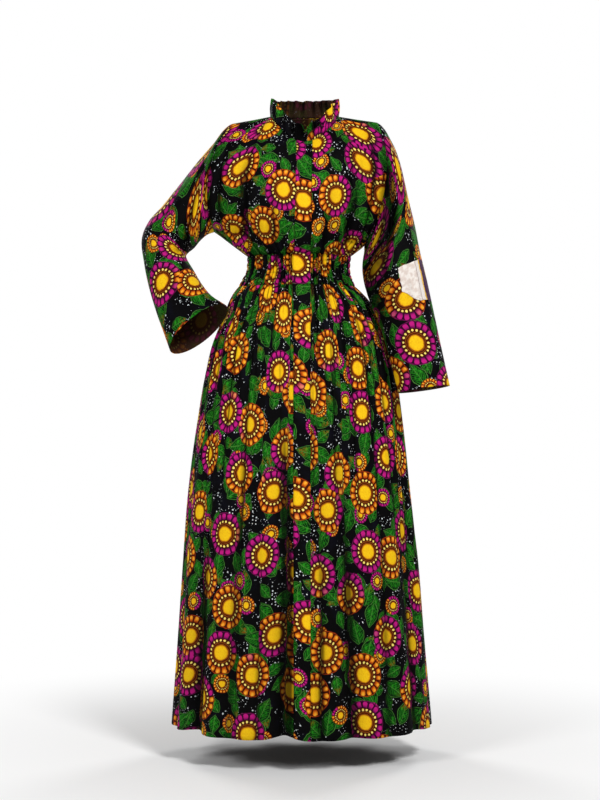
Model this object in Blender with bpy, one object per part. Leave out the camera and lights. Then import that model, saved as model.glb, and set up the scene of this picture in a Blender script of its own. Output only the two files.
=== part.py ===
"""Ankara wax print maxi dress, worn form, standing open and hollow.

Metres, +Z up. The origin is the middle of the neck at shoulder height, the
front faces -Y and the wearer's left is +X. Every piece that a maker cuts is one
closed wall of cloth, and neighbouring pieces stop a hair apart at their seams.
"""
import math

import bmesh
import bpy
import numpy as np

COLLECTION_NAME = "ankara_wax_print_dress"

# Cloth and seams
CLOTH_THICKNESS = 0.0016
SEAM_GAP = 0.0006
PATCH_LIFT = 0.0006

# Height of the seam between bodice and waist, as the drop below the shoulder line
WAIST_TOP_DROP = 0.315

# Columns around each piece
RING_COLUMNS = 112
QUARTER = RING_COLUMNS // 4
FRONT_COLUMN = 0
LEFT_COLUMN = QUARTER
RIGHT_COLUMN = 3 * QUARTER
SLEEVE_COLUMNS = 20
ARMHOLE_ROWS = SLEEVE_COLUMNS // 2
SIDE_SEAM_ROWS = 2
NECKLINE_COLUMNS = 6
SHOULDER_COLUMNS = 6
RUFFLE_STEPS = 3
RUFFLE_WAVE_COLUMNS = 4

# Neck
NECK_MIDDLE = (0.006, 0.005)
NECK_HALF_WIDTH = 0.079
NECK_FRONT_REACH = 0.080
NECK_BACK_REACH = 0.060
NECK_FRONT_Z = -0.062
NECK_SIDE_Z = 0.008
NECK_BACK_Z = 0.014

# Steepness of the cloth at the neckline, in front and how much more at the sides
NECK_STEEPNESS = (0.35, 0.65)

# Angle from the front at which the ruffle starts to flop over
RUFFLE_FRONT_ANGLE = math.radians(22)

# Shirred waist and gathers
SHIRRING_HEIGHT = 0.0024
GATHER_HEIGHT = 0.0030
BAND_HALF_WIDTH = 0.0185
BAND_COLUMNS = 2
GATHERS_START = 0.021
GATHERS_FULL = 0.032
BODICE_GATHER_HEIGHT = 0.0028
BODICE_GATHERS_TOP = 0.50
BODICE_FULLNESS = 0.016

# How fast folds and gathers die out at the edges of a quarter of the bodice
FOLD_EDGE_RISE = 2.5
GATHER_EDGE_RISE = 8.0

# How deep the back's folds are beside the front's
BACK_FOLD_SHARE = 0.8

# Rings are deeper than an oval of their reach, so their walls rise more along y
RING_DEPTH_WEIGHT = 1.3
BODICE_DEPTH_WEIGHT = 1.5

# Share of a sleeve over which its folds set in
SLEEVE_FOLDS_SET_IN = (0.04, 0.20)

# Share of a sleeve over which its rings turn square to its run, and the share
# ahead and behind over which that run is read
SLEEVE_TURN_SQUARE = (0.25, 0.55)
SLEEVE_RUN_STEP = 0.05

# Edges sharper than this are shown as corners
CORNER_ANGLE = math.radians(50)


def table(columns, *rows):
    """Give the rows as one array for each named column."""
    return {name: np.array(values) for name, values in zip(columns.split(), zip(*rows))}


# Rise of the ruffle from its seam to its edge: the lean of each strip of it, the
# extra lean at the front opening, and the height of its waves
RUFFLE_RISE = table(
    "height lean front_lean wave",
    (0.000, 0.0, 0.0, 0.0000),
    (0.016, -2.0, 16.0, 0.0028),
    (0.041, -9.0, 70.0, 0.0045),
)

# Half widths and reaches of the skirt; the hem row is the last
SKIRT_SECTIONS = table(
    "drop right_side left_side front back gather",
    (0.3850, 0.1430, 0.1200, 0.0990, 0.0960, 1.0),
    (0.4000, 0.1545, 0.1360, 0.1070, 0.1060, 1.3),
    (0.4150, 0.1625, 0.1500, 0.1150, 0.1150, 1.4),
    (0.4500, 0.1760, 0.1720, 0.1270, 0.1300, 1.3),
    (0.5000, 0.1985, 0.1950, 0.1400, 0.1450, 1.0),
    (0.5800, 0.2190, 0.2130, 0.1530, 0.1580, 0.6),
    (0.7000, 0.2390, 0.2310, 0.1670, 0.1690, 0.2),
    (0.8600, 0.2590, 0.2490, 0.1830, 0.1800, 0.0),
    (1.0300, 0.2730, 0.2690, 0.1960, 0.1900, 0.0),
    (1.2100, 0.2860, 0.2860, 0.2060, 0.2000, 0.0),
    (1.3870, 0.2990, 0.3010, 0.2120, 0.2080, 0.0),
)

# Long valleys of the skirt, by their angle from the front at the hem, and how
# far down each one starts and is full
SKIRT_FOLDS = table(
    "angle depth half_width starts full hem_lift",
    (-8.0, 0.022, 7.0, 0.45, 1.25, 0.010),
    (8.5, 0.012, 6.0, 0.55, 1.20, 0.000),
    (23.0, 0.017, 7.0, 0.50, 1.20, 0.003),
    (42.0, 0.011, 8.0, 0.70, 1.30, 0.000),
    (61.0, 0.016, 8.0, 0.60, 1.25, 0.004),
    (83.0, 0.010, 7.0, 0.90, 1.35, 0.000),
    (105.0, 0.018, 8.0, 0.55, 1.20, 0.004),
    (128.0, 0.015, 8.0, 0.65, 1.30, 0.000),
    (150.0, 0.020, 8.0, 0.50, 1.20, 0.005),
    (171.0, 0.014, 7.0, 0.60, 1.25, 0.000),
    (192.0, 0.018, 8.0, 0.55, 1.20, 0.003),
    (215.0, 0.020, 9.0, 0.60, 1.25, 0.005),
    (238.0, 0.014, 8.0, 0.70, 1.30, 0.000),
    (259.0, 0.017, 8.0, 0.60, 1.20, 0.004),
    (281.0, 0.010, 7.0, 0.90, 1.35, 0.000),
    (303.0, 0.024, 8.0, 0.80, 1.30, 0.006),
    (325.0, 0.009, 7.0, 0.60, 1.30, 0.000),
    (340.0, 0.010, 6.0, 0.60, 1.30, 0.000),
)

# The shirred waist: the wave height is small at each elastic row
WAIST_SECTIONS = table(
    "drop right_side left_side front back wave",
    (0.3150, 0.1205, 0.1080, 0.0910, 0.0880, 0.55),
    (0.3325, 0.1210, 0.1060, 0.0915, 0.0885, 1.00),
    (0.3500, 0.1230, 0.1060, 0.0915, 0.0885, 0.45),
    (0.3675, 0.1320, 0.1105, 0.0945, 0.0915, 1.00),
    (0.3850, 0.1430, 0.1200, 0.0990, 0.0960, 0.55),
)

# Middle of the front and back of the bodice, from the waist up to the neck
CENTRE_FRONT = table(
    "drop reach",
    (0.315, 0.0910),
    (0.298, 0.1130),
    (0.262, 0.1290),
    (0.205, 0.1360),
    (0.145, 0.1270),
    (0.095, 0.1010),
    (0.062, 0.0750),
)
CENTRE_BACK = table(
    "drop reach",
    (0.315, 0.0880),
    (0.298, 0.1060),
    (0.255, 0.1190),
    (0.180, 0.1190),
    (0.090, 0.1080),
    (0.030, 0.0880),
    (-0.014, 0.0650),
)

# Soft folds of the bodice: place across (0 at the middle, 1 at the armhole) and
# up (0 at the waist, 1 at the shoulder), and how far the fold drifts across as
# it rises
BODICE_FOLDS = table(
    "side across up depth half_width half_height drift",
    (1, 0.30, 0.25, 0.006, 0.10, 0.28, 0.10),
    (1, 0.62, 0.30, 0.008, 0.12, 0.30, 0.25),
    (1, 0.85, 0.62, 0.006, 0.09, 0.22, 0.05),
    (-1, 0.28, 0.28, 0.006, 0.10, 0.28, 0.12),
    (-1, 0.60, 0.30, 0.007, 0.12, 0.30, 0.20),
    (-1, 0.88, 0.50, 0.009, 0.08, 0.28, 0.05),
)

# Sleeves: the outer and inner line of each sleeve as seen from the front, how
# far its middle stands forward or back, its half depth, and how far the middle
# of the ring swells sideways past the straight line between the two
LEFT_SLEEVE = table(
    "outer_x outer_z inner_x inner_z middle_y half_depth swell",
    (0.172, -0.007, 0.143, -0.290, 0.000, 0.080, 0.032),
    (0.205, -0.051, 0.143, -0.302, 0.000, 0.080, 0.030),
    (0.221, -0.092, 0.141, -0.314, -0.004, 0.078, 0.030),
    (0.234, -0.144, 0.139, -0.327, -0.010, 0.075, 0.028),
    (0.245, -0.190, 0.138, -0.342, -0.018, 0.072, 0.026),
    (0.256, -0.241, 0.139, -0.360, -0.029, 0.069, 0.022),
    (0.267, -0.302, 0.143, -0.386, -0.043, 0.066, 0.015),
    (0.282, -0.371, 0.153, -0.421, -0.060, 0.062, 0.006),
    (0.296, -0.443, 0.171, -0.467, -0.076, 0.058, 0.000),
    (0.309, -0.509, 0.188, -0.520, -0.087, 0.055, 0.000),
    (0.320, -0.561, 0.202, -0.572, -0.092, 0.054, 0.000),
    (0.331, -0.612, 0.215, -0.628, -0.096, 0.054, 0.000),
)
RIGHT_SLEEVE = table(
    "outer_x outer_z inner_x inner_z middle_y half_depth swell",
    (-0.160, -0.010, -0.202, -0.258, 0.000, 0.078, -0.030),
    (-0.202, -0.054, -0.219, -0.264, 0.005, 0.076, -0.016),
    (-0.239, -0.095, -0.235, -0.277, 0.010, 0.073, -0.007),
    (-0.282, -0.148, -0.249, -0.293, 0.015, 0.069, -0.002),
    (-0.321, -0.195, -0.261, -0.302, 0.020, 0.065, 0.000),
    (-0.354, -0.232, -0.267, -0.309, 0.020, 0.062, 0.000),
    (-0.370, -0.274, -0.267, -0.317, 0.015, 0.060, 0.000),
    (-0.364, -0.326, -0.261, -0.329, 0.004, 0.058, 0.000),
    (-0.351, -0.383, -0.246, -0.351, -0.015, 0.057, 0.000),
    (-0.330, -0.446, -0.228, -0.380, -0.040, 0.057, 0.000),
    (-0.312, -0.492, -0.204, -0.409, -0.060, 0.058, 0.000),
    (-0.295, -0.536, -0.170, -0.432, -0.080, 0.060, 0.000),
)
SLEEVE_ROWS = 17

# Where the outer line of each sleeve heads from the shoulder, over its whole length
LEFT_SHOULDER_SLOPE = (0.60, 0.0, -0.32)
RIGHT_SHOULDER_SLOPE = (-0.65, 0.0, -0.30)

# Folds of the sleeves: place along the sleeve (0 at the armhole, 1 at the cuff),
# angle around it (0 on the outer line, 90 in front), and how far the fold turns
# over the whole sleeve length
LEFT_SLEEVE_FOLDS = table(
    "along around depth half_length half_angle turn",
    (0.18, 75.0, 0.007, 0.16, 26.0, -60.0),
    (0.42, 120.0, 0.006, 0.18, 28.0, -30.0),
    (0.20, 255.0, 0.007, 0.18, 28.0, 50.0),
    (0.62, 70.0, 0.005, 0.20, 26.0, 20.0),
    (0.66, 250.0, 0.006, 0.22, 28.0, 20.0),
)
RIGHT_SLEEVE_FOLDS = table(
    "along around depth half_length half_angle turn",
    (0.16, 115.0, 0.009, 0.15, 26.0, 80.0),
    (0.40, 60.0, 0.006, 0.14, 26.0, 60.0),
    (0.55, 130.0, 0.008, 0.09, 30.0, 0.0),
    (0.22, 250.0, 0.008, 0.18, 28.0, -60.0),
    (0.57, 235.0, 0.007, 0.10, 30.0, 0.0),
    (0.80, 95.0, 0.005, 0.16, 24.0, 0.0),
)

# The pale patch on the wearer's left sleeve, in rows and columns of that sleeve
PATCH_ROWS = (10, 12)
PATCH_COLUMNS = (1, 5)


def smooth_curve(stations, values, at, start_slope=None):
    """Read a smooth curve through the values at the stations."""
    slopes = np.gradient(values, stations, axis=0)
    if start_slope is not None:
        slopes[0] = start_slope
    at = np.clip(at, stations[0], stations[-1])
    i = np.clip(np.searchsorted(stations, at) - 1, 0, len(stations) - 2)
    span = stations[i + 1] - stations[i]
    t = (at - stations[i]) / span
    start_weight = 2 * t**3 - 3 * t**2 + 1
    end_weight = 1 - start_weight
    return (
        start_weight * values[i]
        + end_weight * values[i + 1]
        + (t**3 - 2 * t**2 + t) * span * slopes[i]
        + (t**3 - t**2) * span * slopes[i + 1]
    )


def column_at(sections, column, drop):
    return smooth_curve(sections["drop"], sections[column], drop)


def smooth_step(start, end, value):
    t = np.clip((value - start) / (end - start), 0.0, 1.0)
    return t * t * (3.0 - 2.0 * t)


def bump(distance, half_width):
    return math.exp(-((distance / half_width) ** 2))


def unit(vectors):
    length = np.linalg.norm(vectors, axis=-1, keepdims=True)
    return vectors / np.maximum(length, 1e-9)


def grid_normals(points, closed):
    """Outward normals of a grid whose rows run upwards or along a tube."""
    if closed:
        across = np.roll(points, -1, axis=1) - np.roll(points, 1, axis=1)
    else:
        across = np.gradient(points, axis=1)
    along = np.gradient(points, axis=0)
    return unit(np.cross(across, along))


def around_ring(angle, right_side, left_side, front, back):
    """A point of an oval that has its own reach on each of its four sides."""
    side = left_side if math.sin(angle) > 0 else right_side
    reach = front if math.cos(angle) > 0 else back
    return side * math.sin(angle), -reach * math.cos(angle)


def section_point(sections, drop, angle, raised):
    names = ("right_side", "left_side", "front", "back")
    x, y = around_ring(angle, *(column_at(sections, name, drop) for name in names))
    away = unit(np.array([x, y * RING_DEPTH_WEIGHT, 0.0]))
    return np.array([x, y, -drop]) + away * raised


def away_from_band(x, y):
    """0 under the front band and 1 clear of it."""
    if y > 0:
        return 1.0
    return float(smooth_step(GATHERS_START, GATHERS_FULL, abs(x)))


def ring_angles(front_side):
    """Angles around a ring. The first columns keep to the edges of the band."""
    edge = math.asin(BAND_HALF_WIDTH / front_side)
    quarter = np.concatenate([
        np.linspace(0.0, edge, BAND_COLUMNS, endpoint=False),
        np.linspace(edge, math.pi / 2, QUARTER - BAND_COLUMNS + 1),
    ])
    back = np.linspace(math.pi / 2, 3 * math.pi / 2, 2 * QUARTER + 1)
    return np.concatenate([quarter[:-1], back[:-1], 2 * math.pi - quarter[:0:-1]])


def fold_offset(angle, drop):
    """How far the long skirt folds pull a point in, and lift its hem."""
    inward = 0.0
    lift = 0.0
    for i, fold_angle in enumerate(SKIRT_FOLDS["angle"]):
        apart = (math.degrees(angle) - fold_angle + 180.0) % 360.0 - 180.0
        share = bump(apart, SKIRT_FOLDS["half_width"][i])
        grown = smooth_step(SKIRT_FOLDS["starts"][i], SKIRT_FOLDS["full"][i], drop)
        inward += SKIRT_FOLDS["depth"][i] * share * grown
        lift += SKIRT_FOLDS["hem_lift"][i] * share * grown
    return inward, lift


def skirt_grid():
    """Rows from the hem up, so that the columns turn from the front to the left."""
    rows = []
    for drop in reversed(SKIRT_SECTIONS["drop"]):
        gather = column_at(SKIRT_SECTIONS, "gather", drop) * GATHER_HEIGHT
        row = []
        for column, angle in enumerate(ring_angles(column_at(SKIRT_SECTIONS, "left_side", drop))):
            plain = section_point(SKIRT_SECTIONS, drop, angle, 0.0)
            side = 1 if column % 2 else -1
            inward, lift = fold_offset(angle, drop)
            raised = side * gather * away_from_band(plain[0], plain[1]) - inward
            point = section_point(SKIRT_SECTIONS, drop, angle, raised)
            row.append(point + np.array([0.0, 0.0, lift]))
        rows.append(row)
    return np.array(rows)


def waist_grids():
    """The raised outer points of the waist, and the plain ones they stand on."""
    plain_rows = []
    outer_rows = []
    for i in reversed(range(len(WAIST_SECTIONS["drop"]))):
        drop = WAIST_SECTIONS["drop"][i]
        height = WAIST_SECTIONS["wave"][i] * SHIRRING_HEIGHT
        plain_row = []
        outer_row = []
        for column, angle in enumerate(ring_angles(WAIST_SECTIONS["left_side"][i])):
            plain = section_point(WAIST_SECTIONS, drop, angle, 0.0)
            share = (column % 2) * away_from_band(plain[0], plain[1])
            plain_row.append(plain)
            outer_row.append(section_point(WAIST_SECTIONS, drop, angle, share * height))
        plain_rows.append(plain_row)
        outer_rows.append(outer_row)
    return np.array(plain_rows), np.array(outer_rows)


def neckline_point(angle):
    reach = NECK_FRONT_REACH if math.cos(angle) > 0 else NECK_BACK_REACH
    end_z = NECK_FRONT_Z if math.cos(angle) > 0 else NECK_BACK_Z
    return np.array([
        NECK_MIDDLE[0] + NECK_HALF_WIDTH * math.sin(angle),
        NECK_MIDDLE[1] - reach * math.cos(angle),
        NECK_SIDE_Z + (end_z - NECK_SIDE_Z) * math.cos(angle) ** 2,
    ])


def neck_angle(point):
    """The angle of a neckline point, from the front towards the left."""
    reach = NECK_FRONT_REACH if point[1] < NECK_MIDDLE[1] else NECK_BACK_REACH
    sideways = (point[0] - NECK_MIDDLE[0]) / NECK_HALF_WIDTH
    return math.atan2(sideways, (NECK_MIDDLE[1] - point[1]) / reach)


def neckline_steepness(angle):
    return NECK_STEEPNESS[0] + NECK_STEEPNESS[1] * math.sin(angle) ** 2


def neckline_inward(angle):
    """Across the neckline's edge, into the neck and down."""
    return unit(np.array([-math.sin(angle), math.cos(angle), -neckline_steepness(angle)]))


def neckline_upward(angle):
    """Along the cloth at the neckline, away from the body."""
    steep = neckline_steepness(angle)
    return unit(np.array([-math.sin(angle) * steep, math.cos(angle) * steep, 1.0]))


def armhole_point(sleeve, turn):
    """A point of the armhole; the turn is 0 at the shoulder and 180 underarm."""
    share = (1 - math.cos(turn)) / 2
    x = sleeve["outer_x"][0] + (sleeve["inner_x"][0] - sleeve["outer_x"][0]) * share
    z = sleeve["outer_z"][0] + (sleeve["inner_z"][0] - sleeve["outer_z"][0]) * share
    x += sleeve["swell"][0] * math.sin(turn) ** 2
    return np.array([x, sleeve["middle_y"][0] - sleeve["half_depth"][0] * math.sin(turn), z])


def armhole_inward(turn):
    """Across the armhole's edge, into the hole."""
    return np.array([0.0, math.sin(turn), -math.cos(turn)])


def bodice_edges(sleeve, side, facing, centre):
    """The four edges of one quarter of the bodice, in order of rising and of
    going from the middle to the side. Facing is -1 in front and 1 behind."""
    rows = SIDE_SEAM_ROWS + ARMHOLE_ROWS
    quarter_columns = NECKLINE_COLUMNS + SHOULDER_COLUMNS
    start_angle = 0.0 if facing < 0 else math.pi
    side_angle = side * math.pi / 2
    if facing > 0 and side < 0:
        start_angle = -math.pi

    bottom = []
    for column in range(quarter_columns + 1):
        angle = start_angle + (side_angle - start_angle) * column / quarter_columns
        bottom.append(section_point(WAIST_SECTIONS, WAIST_TOP_DROP, angle, 0.0))

    top = []
    for column in range(NECKLINE_COLUMNS + 1):
        angle = start_angle + (side_angle - start_angle) * column / NECKLINE_COLUMNS
        top.append(neckline_point(angle))
    shoulder = armhole_point(sleeve, 0.0)
    run = shoulder - top[-1]
    for column in range(1, SHOULDER_COLUMNS + 1):
        top.append(top[NECKLINE_COLUMNS] + run * column / SHOULDER_COLUMNS)

    middle = []
    places = np.linspace(0, 1, len(centre["drop"]))
    for row in range(rows + 1):
        drop = smooth_curve(places, centre["drop"], row / rows)
        reach = smooth_curve(places, centre["reach"], row / rows)
        middle.append(np.array([top[0][0] * row / rows, facing * reach, -drop]))
    middle[0] = bottom[0]
    middle[-1] = top[0]

    edge = []
    underarm = armhole_point(sleeve, math.pi)
    for row in range(SIDE_SEAM_ROWS):
        edge.append(bottom[-1] + (underarm - bottom[-1]) * row / SIDE_SEAM_ROWS)
    for row in range(ARMHOLE_ROWS + 1):
        turn = math.pi * (1 - row / ARMHOLE_ROWS)
        point = armhole_point(sleeve, turn)
        point[1] *= -facing
        edge.append(point)
    return np.array(bottom), np.array(top), np.array(middle), np.array(edge)


def bodice_fold(side, facing, across, up):
    offset = 0.0
    for i, fold_side in enumerate(BODICE_FOLDS["side"]):
        if fold_side != side:
            continue
        risen = up - BODICE_FOLDS["up"][i]
        middle = BODICE_FOLDS["across"][i] + BODICE_FOLDS["drift"][i] * risen
        share = bump(across - middle, BODICE_FOLDS["half_width"][i])
        share *= bump(risen, BODICE_FOLDS["half_height"][i])
        offset += BODICE_FOLDS["depth"][i] * share
    return offset * (1.0 if facing < 0 else BACK_FOLD_SHARE)


def along_row(row, distance):
    """The point of a row of points at this distance along it."""
    lengths = np.concatenate([[0.0], np.cumsum(np.linalg.norm(np.diff(row, axis=0), axis=1))])
    return np.array([np.interp(distance, lengths, row[:, axis]) for axis in range(3)])


def bodice_gather(point, column, across, up):
    """Every other column stands out near the waist, clear of the band."""
    height = BODICE_GATHER_HEIGHT * (1 if column % 2 else -1) * away_from_band(point[0], point[1])
    height *= smooth_step(BODICE_GATHERS_TOP, 0.0, up)
    height *= min(1.0, across * GATHER_EDGE_RISE, (1 - across) * GATHER_EDGE_RISE)
    return height if up > 0 else height / 2


def bodice_quarter(sleeve, side, facing, centre):
    """A patch between the four edges, filled out, gathered low and softly folded."""
    bottom, top, middle, edge = bodice_edges(sleeve, side, facing, centre)
    rows = len(middle) - 1
    columns = len(bottom) - 1
    grid = np.zeros((rows + 1, columns + 1, 3))
    for row in range(rows + 1):
        up = row / rows
        for column in range(columns + 1):
            across = column / columns
            blend = smooth_step(0.0, 1.0, across)
            ends = (1 - blend) * middle[row] + blend * edge[row]
            low = (1 - blend) * bottom[0] + blend * bottom[-1]
            high = (1 - blend) * top[0] + blend * top[-1]
            point = ends + (1 - up) * (bottom[column] - low) + up * (top[column] - high)
            inside = math.sin(math.pi * across) * math.sin(math.pi * up)
            outward = unit(np.array([point[0], point[1] * BODICE_DEPTH_WEIGHT, 0.0]))
            fullness = BODICE_FULLNESS * inside
            fold = bodice_fold(side, facing, across, up) * min(1.0, inside * FOLD_EDGE_RISE)
            gather = bodice_gather(point, column, across, up)
            grid[row, column] = point + outward * (fullness - fold + gather)
    for line in grid:
        smooth = line.copy()
        for column in range(1, BAND_COLUMNS + 1):
            line[column] = along_row(smooth, BAND_HALF_WIDTH * column / BAND_COLUMNS)
    return grid


def bodice_inward(grid, end_sides, facing, centre_column):
    """Directions into the cloth, shared with each neighbour along the seams.

    end_sides gives, for each end of the grid, the side (1 left, -1 right) or
    0 where the end is the open front edge."""
    inward = facing * grid_normals(grid, closed=False)
    rows = grid.shape[0] - 1
    last = grid.shape[1] - 1
    inward[0, :, 2] = 0.0
    inward[0] = unit(inward[0])
    for column in range(last + 1):
        if abs(column - centre_column) <= NECKLINE_COLUMNS:
            inward[rows, column] = neckline_inward(neck_angle(grid[rows, column]))
        else:
            inward[rows, column] = (0.0, 0.0, -1.0)
    for end, side in zip((0, last), end_sides):
        if side == 0:
            inward[:, end, 0] = 0.0
            inward[:, end] = unit(inward[:, end])
            continue
        for row in range(SIDE_SEAM_ROWS):
            share = row / SIDE_SEAM_ROWS
            inward[row, end] = unit(np.array([share - 1.0, 0.0, share]) * (side, 1.0, 1.0))
        for row in range(ARMHOLE_ROWS + 1):
            turn = math.pi * (1 - row / ARMHOLE_ROWS)
            direction = armhole_inward(turn)
            direction[1] *= -facing
            inward[SIDE_SEAM_ROWS + row, end] = direction
    return inward


def trim_bodice(grid, end_sides, facing, centre_column):
    """Stop each edge half a gap short of its seam."""
    half = SEAM_GAP / 2
    grid = grid.copy()
    rows = grid.shape[0] - 1
    last = grid.shape[1] - 1
    grid[0, :, 2] += half
    for column in range(last + 1):
        from_middle = abs(column - centre_column)
        if from_middle <= NECKLINE_COLUMNS:
            grid[rows, column] -= neckline_upward(neck_angle(grid[rows, column])) * half
        if from_middle >= NECKLINE_COLUMNS:
            grid[rows, column, 1] += facing * half
    for end, side in zip((0, last), end_sides):
        if side == 0:
            grid[:, end, 0] += half if end == 0 else -half
            continue
        grid[SIDE_SEAM_ROWS:, end, 0] -= side * half
        grid[:SIDE_SEAM_ROWS + 1, end, 1] += facing * half
    return grid


def sleeve_ends(sleeve, shoulder_slope, along):
    """The outer and the inner point of the ring at this place along the sleeve."""
    places = np.linspace(0, 1, len(sleeve["outer_x"]))
    outer = np.stack([sleeve["outer_x"], sleeve["middle_y"], sleeve["outer_z"]], axis=1)
    inner = np.stack([sleeve["inner_x"], sleeve["middle_y"], sleeve["inner_z"]], axis=1)
    return smooth_curve(places, outer, along, shoulder_slope), smooth_curve(places, inner, along)


def sleeve_depth(sleeve, shoulder_slope, side, along, half):
    """Forwards across the ring, by its half depth."""
    ahead = sum(sleeve_ends(sleeve, shoulder_slope, min(1.0, along + SLEEVE_RUN_STEP)))
    behind = sum(sleeve_ends(sleeve, shoulder_slope, max(0.0, along - SLEEVE_RUN_STEP)))
    square = unit(np.cross(ahead - behind, half)) * side
    forward = np.array([0.0, -1.0, 0.0])
    turned = forward + (square - forward) * smooth_step(*SLEEVE_TURN_SQUARE, along)
    places = np.linspace(0, 1, len(sleeve["outer_x"]))
    return unit(turned) * smooth_curve(places, sleeve["half_depth"], along)


def sleeve_rings(sleeve, shoulder_slope, folds, side):
    """Rings along the sleeve; the first is the armhole, the last the cuff."""
    places = np.linspace(0, 1, len(sleeve["outer_x"]))
    rings = []
    for row in range(SLEEVE_ROWS + 1):
        along = row / SLEEVE_ROWS
        top, low = sleeve_ends(sleeve, shoulder_slope, along)
        middle = (top + low) / 2
        half = (top - low) / 2
        deep = sleeve_depth(sleeve, shoulder_slope, side, along, half)
        swell = smooth_curve(places, sleeve["swell"], along)
        ring = []
        for column in range(SLEEVE_COLUMNS):
            turn = 2 * math.pi * column / SLEEVE_COLUMNS
            point = middle + half * math.cos(turn) + deep * math.sin(turn)
            point[0] += swell * math.sin(turn) ** 2
            fold = sleeve_fold(folds, along, math.degrees(turn))
            ring.append(point - unit(deep) * math.sin(turn) * fold)
        rings.append(ring)
    rings = np.array(rings)
    for column in range(SLEEVE_COLUMNS):
        rings[0, column] = armhole_point(sleeve, 2 * math.pi * column / SLEEVE_COLUMNS)
    rings[0, :, 0] += side * SEAM_GAP / 2
    return rings


def sleeve_fold(folds, along, around):
    offset = 0.0
    for i, place in enumerate(folds["along"]):
        middle = folds["around"][i] + folds["turn"][i] * (along - place)
        apart = (around - middle + 180.0) % 360.0 - 180.0
        share = bump(apart, folds["half_angle"][i]) * bump(along - place, folds["half_length"][i])
        offset += folds["depth"][i] * share
    return offset * smooth_step(*SLEEVE_FOLDS_SET_IN, along)


def make_wall(name, outer, inner, closed, colour, roughness=0.75):
    """A closed solid between two grids of points."""
    rows, columns = outer.shape[:2]
    mesh = bpy.data.meshes.new(name)
    shape = bmesh.new()
    outside = [[shape.verts.new(point) for point in row] for row in outer]
    inside = [[shape.verts.new(point) for point in row] for row in inner]
    steps = columns if closed else columns - 1

    def quad(a, b, c, d):
        shape.faces.new((a, b, c))
        shape.faces.new((a, c, d))

    for row in range(rows - 1):
        for column in range(steps):
            after = (column + 1) % columns
            quad(outside[row][column], outside[row][after],
                 outside[row + 1][after], outside[row + 1][column])
            shape.faces.new((inside[row][column], inside[row + 1][after], inside[row][after]))
            shape.faces.new((inside[row][column], inside[row + 1][column], inside[row + 1][after]))
    for column in range(steps):
        after = (column + 1) % columns
        quad(inside[0][column], inside[0][after], outside[0][after], outside[0][column])
        quad(outside[-1][column], outside[-1][after], inside[-1][after], inside[-1][column])
    if not closed:
        for row in range(rows - 1):
            quad(outside[row][0], outside[row + 1][0], inside[row + 1][0], inside[row][0])
            quad(inside[row][-1], inside[row + 1][-1], outside[row + 1][-1], outside[row][-1])
    bmesh.ops.recalc_face_normals(shape, faces=shape.faces)
    if shape.calc_volume(signed=True) < 0:
        bmesh.ops.reverse_faces(shape, faces=shape.faces)
    shape.to_mesh(mesh)
    shape.free()
    mesh.shade_smooth()
    mesh.set_sharp_from_angle(angle=CORNER_ANGLE)
    piece = bpy.data.objects.new(name, mesh)
    piece.data.materials.append(cloth_material(name, colour, roughness))
    bpy.data.collections[COLLECTION_NAME].objects.link(piece)
    return piece


def cloth_material(name, colour, roughness):
    material = bpy.data.materials.new(name + "_cloth")
    material.use_nodes = True
    shader = material.node_tree.nodes["Principled BSDF"]
    shader.inputs["Base Color"].default_value = (*colour, 1.0)
    shader.inputs["Roughness"].default_value = roughness
    shader.inputs["Metallic"].default_value = 0.0
    return material


def split_ring(points, inner, start, end):
    """The columns of a ring from start to end, half a gap short of both seams."""
    count = points.shape[1]
    picked = [column % count for column in range(start, end + 1)]
    parts = [points[:, picked].copy(), inner[:, picked].copy()]
    for edge, neighbour in ((0, 1), (-1, -2)):
        toward = unit(parts[0][:, neighbour] - parts[0][:, edge])
        for part in parts:
            part[:, edge] += toward * SEAM_GAP / 2
    return parts


RING_PANELS = (
    ("front_left", FRONT_COLUMN, LEFT_COLUMN, (0.10, 0.16, 0.06)),
    ("back", LEFT_COLUMN, RIGHT_COLUMN, (0.16, 0.08, 0.14)),
    ("front_right", RIGHT_COLUMN, RING_COLUMNS, (0.20, 0.10, 0.04)),
)


def build_skirt():
    outer = skirt_grid()
    inward = -grid_normals(outer, closed=True)
    inward[-1, :, 2] = 0.0
    inward[-1] = unit(inward[-1])
    inward[0, :, 2] = 0.0
    inward[0] = unit(inward[0])
    outer[-1, :, 2] -= SEAM_GAP / 2
    inner = outer + inward * CLOTH_THICKNESS
    for panel, start, end, colour in RING_PANELS:
        make_wall("skirt_" + panel, *split_ring(outer, inner, start, end), False, colour)
    return outer


def build_waist():
    plain, outer = waist_grids()
    inward = -grid_normals(plain, closed=True)
    inward[:, :, 2] = 0.0
    inner = plain + unit(inward) * CLOTH_THICKNESS
    for grid in (outer, inner):
        grid[0, :, 2] += SEAM_GAP / 2
        grid[-1, :, 2] -= SEAM_GAP / 2
    for panel, start, end, colour in RING_PANELS:
        make_wall("waist_" + panel, *split_ring(outer, inner, start, end), False, colour)
    return outer


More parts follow.
